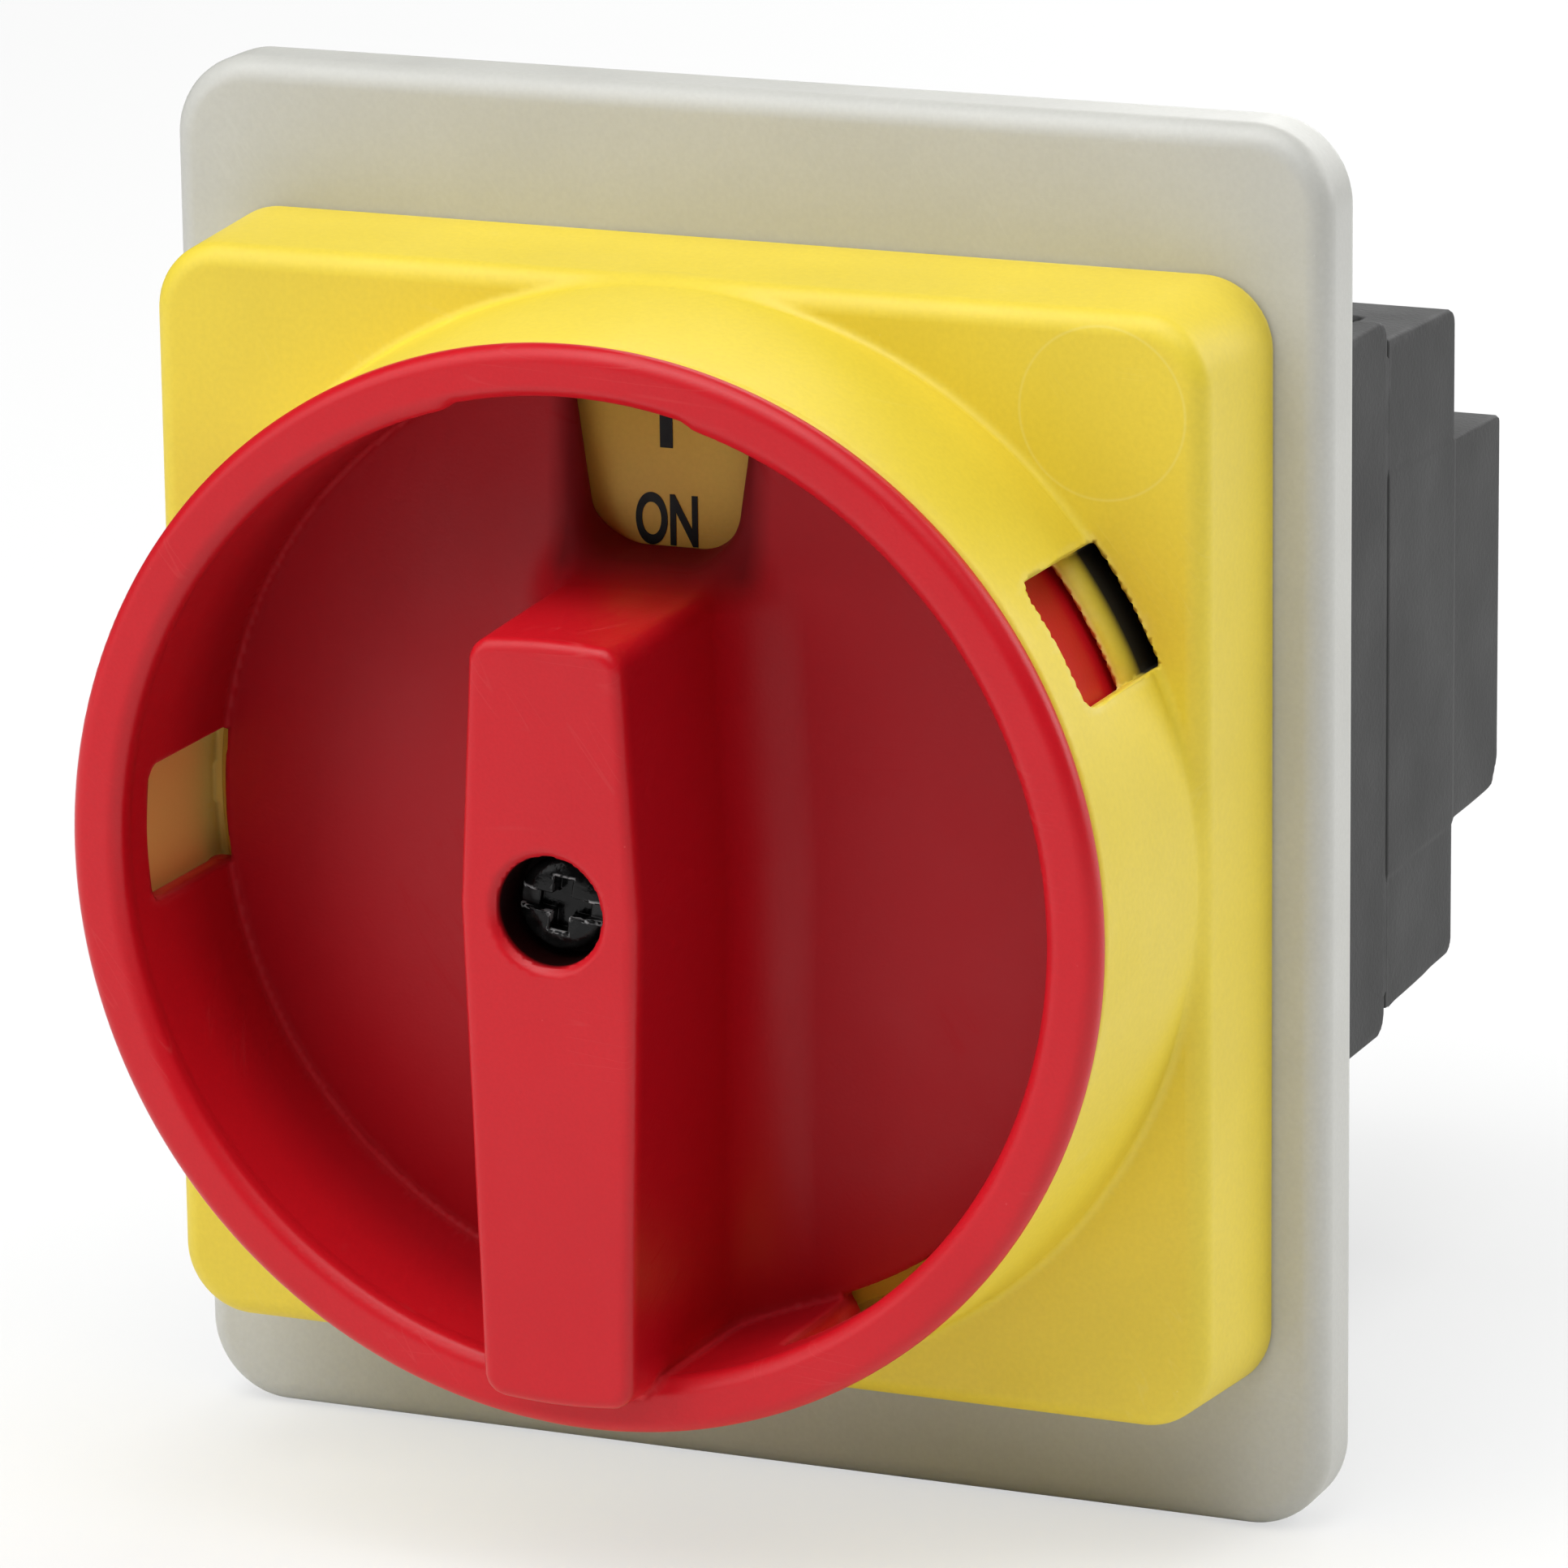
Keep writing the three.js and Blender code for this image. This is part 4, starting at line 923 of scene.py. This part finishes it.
def coil(name, radius, wire, front, back, turns, steps=40, sides=12):
    """A compression spring along Y, with its end turns closed and its wire's ends cut square."""
    along = np.linspace(0, 1, turns * steps + 1)
    angle = 2 * math.pi * turns * along
    closed = 0.5 / turns
    rise = np.clip((along - closed) / (1 - 2 * closed), 0, 1)
    rise = rise * (1 - 4 * wire / (back - front)) + 2 * wire / (back - front) * np.clip(along / closed, 0, 1)
    rise += 2 * wire / (back - front) * np.clip((along - 1 + closed) / closed, 0, 1)
    middle = front + wire + (back - front - 2 * wire) * rise
    out = np.stack([np.cos(angle), np.zeros_like(angle), np.sin(angle)], 1)
    spine = radius * out + np.stack([0 * angle, middle, 0 * angle], 1)
    around = 2 * math.pi * np.arange(sides) / sides
    ring = np.cos(around)[None, :, None] * out[:, None, :]
    ring = ring + np.sin(around)[None, :, None] * np.array([0.0, 1.0, 0.0])
    points = (spine[:, None, :] + wire * ring).reshape(-1, 3)
    faces = []
    for i in range(len(along) - 1):
        for j in range(sides):
            k = (j + 1) % sides
            faces.append((i * sides + j, i * sides + k, (i + 1) * sides + k, (i + 1) * sides + j))
    data = bare_mesh(name, points, np.array(faces))
    build = bmesh.new()
    build.from_mesh(data)
    build.verts.ensure_lookup_table()
    last = len(along) - 1
    build.faces.new([build.verts[j] for j in reversed(range(sides))])
    build.faces.new([build.verts[last * sides + j] for j in range(sides)])
    bmesh.ops.recalc_face_normals(build, faces=build.faces)
    build.to_mesh(data)
    build.free()
    data.polygons.foreach_set("use_smooth", [True] * len(data.polygons))
    return data


def make_springs():
    for number in range(1, 5):
        node = f"contact_spring_{number}"
        low, high = (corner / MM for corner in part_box(node))
        middle = (low[0] + high[0]) / 2
        data = coil(node + "_coil", SPRING_RADIUS, SPRING_WIRE, low[1], high[1], SPRING_TURNS)
        piece = fixed(placed(node + "_coil", data, (middle, 0, 0)), node, "plated_steel")
        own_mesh(piece)


# ---------------------------------------------------------------- stage


def make_camera():
    """A long lens, above the object and to its right, that looks back at its front."""
    azimuth, elevation, roll = (math.radians(a) for a in (CAMERA_AZIMUTH, CAMERA_ELEVATION, CAMERA_ROLL))
    level = math.cos(elevation)
    back = Vector((math.sin(azimuth) * level, -math.cos(azimuth) * level, math.sin(elevation)))
    right = Vector((math.cos(azimuth), math.sin(azimuth), 0))
    up = back.cross(right)
    rolled_right = right * math.cos(roll) + up * math.sin(roll)
    rolled_up = up * math.cos(roll) - right * math.sin(roll)
    target = CAMERA_SHIFT[0] * rolled_right + CAMERA_SHIFT[1] * rolled_up
    data = bpy.data.cameras.new("camera")
    data.sensor_width = CAMERA_SENSOR
    data.lens = CAMERA_LENS
    data.clip_end = 20
    camera = bpy.data.objects.new("camera", data)
    camera.matrix_world = Matrix.Translation(target + CAMERA_DISTANCE * back) @ Matrix(
        (rolled_right, rolled_up, back)
    ).transposed().to_4x4()
    bpy.context.scene.collection.objects.link(camera)
    bpy.context.scene.camera = camera


def softbox(name, azimuth, elevation, power):
    """A square light at LIGHT_DISTANCE that faces the object; azimuth 0 is the object's front."""
    az, el = math.radians(azimuth), math.radians(elevation)
    place = Vector((math.sin(az) * math.cos(el), -math.cos(az) * math.cos(el), math.sin(el)))
    data = bpy.data.lights.new(name, "AREA")
    data.shape = "SQUARE"
    data.size = LIGHT_SIZE
    data.energy = power
    lamp = bpy.data.objects.new(name, data)
    lamp.location = place * LIGHT_DISTANCE
    lamp.rotation_euler = (-place).to_track_quat("-Z", "Y").to_euler()
    bpy.context.scene.collection.objects.link(lamp)


def make_world():
    """A white backdrop that gives almost no light of its own, so that the softboxes shape the object."""
    world = bpy.data.worlds.new("studio")
    world.use_nodes = True
    nodes, links = world.node_tree.nodes, world.node_tree.links
    seen = nodes.new("ShaderNodeLightPath")
    strength = nodes.new("ShaderNodeMapRange")
    strength.inputs["To Min"].default_value = FILL_LIGHT
    strength.inputs["To Max"].default_value = 1.0
    links.new(seen.outputs["Is Camera Ray"], strength.inputs["Value"])
    links.new(strength.outputs["Result"], nodes["Background"].inputs["Strength"])
    nodes["Background"].inputs["Color"].default_value = (1, 1, 1, 1)
    bpy.context.scene.world = world


def make_floor():
    """A pale floor that fades into the backdrop. It lights the object in full, but is seen only faintly."""
    data = bpy.data.meshes.new("floor")
    build = bmesh.new()
    bmesh.ops.create_circle(build, cap_ends=True, segments=64, radius=FLOOR_FADE[1])
    build.to_mesh(data)
    build.free()
    floor = bpy.data.objects.new("floor", data)
    floor.location = (0, 0, CAD_BOUNDS[0][2] - 0.0001)
    bpy.context.scene.collection.objects.link(floor)
    paint = bpy.data.materials.new("floor_paint")
    paint.use_nodes = True
    nodes, links = paint.node_tree.nodes, paint.node_tree.links
    shader = nodes["Principled BSDF"]
    shader.inputs["Base Color"].default_value = (0.9, 0.9, 0.9, 1)
    shader.inputs["Roughness"].default_value = 0.7
    where = nodes.new("ShaderNodeTexCoord")
    away = nodes.new("ShaderNodeVectorMath")
    away.operation = "LENGTH"
    fade = nodes.new("ShaderNodeMapRange")
    fade.interpolation_type = "SMOOTHSTEP"
    fade.inputs["From Min"].default_value = FLOOR_FADE[0]
    fade.inputs["From Max"].default_value = FLOOR_FADE[1]
    fade.inputs["To Max"].default_value = 0.0
    links.new(where.outputs["Object"], away.inputs[0])
    links.new(away.outputs["Value"], fade.inputs["Value"])
    path = nodes.new("ShaderNodeLightPath")
    seen = nodes.new("ShaderNodeMapRange")
    seen.inputs["To Min"].default_value = 1.0
    seen.inputs["To Max"].default_value = FLOOR_SEEN
    links.new(path.outputs["Is Camera Ray"], seen.inputs["Value"])
    links.new(seen.outputs["Result"], fade.inputs["To Min"])
    links.new(fade.outputs["Result"], shader.inputs["Alpha"])
    data.materials.append(paint)


def make_stage():
    bpy.context.scene.view_settings.view_transform = "Standard"
    make_world()
    make_floor()
    for name, azimuth, elevation, power in (
        ("left_softbox", -45, 22, 3.0),
        ("left_upper_softbox", -45, 58, 3.5),
        ("front_upper_softbox", 0, 58, 2.3),
        ("right_upper_softbox", 45, 58, 2.1),
        ("top_softbox", 0, 89, 3.6),
        ("rear_right_softbox", 130, 22, 4.4),
        ("rear_softbox", 180, 22, 3.8),
    ):
        softbox(name, azimuth, elevation, power)


make_camera()
make_stage()
make_finishes()
make_handle()
make_front()
make_body()
make_dial()
make_screws()
make_springs()
make_gasket()
finish_cad_nodes()
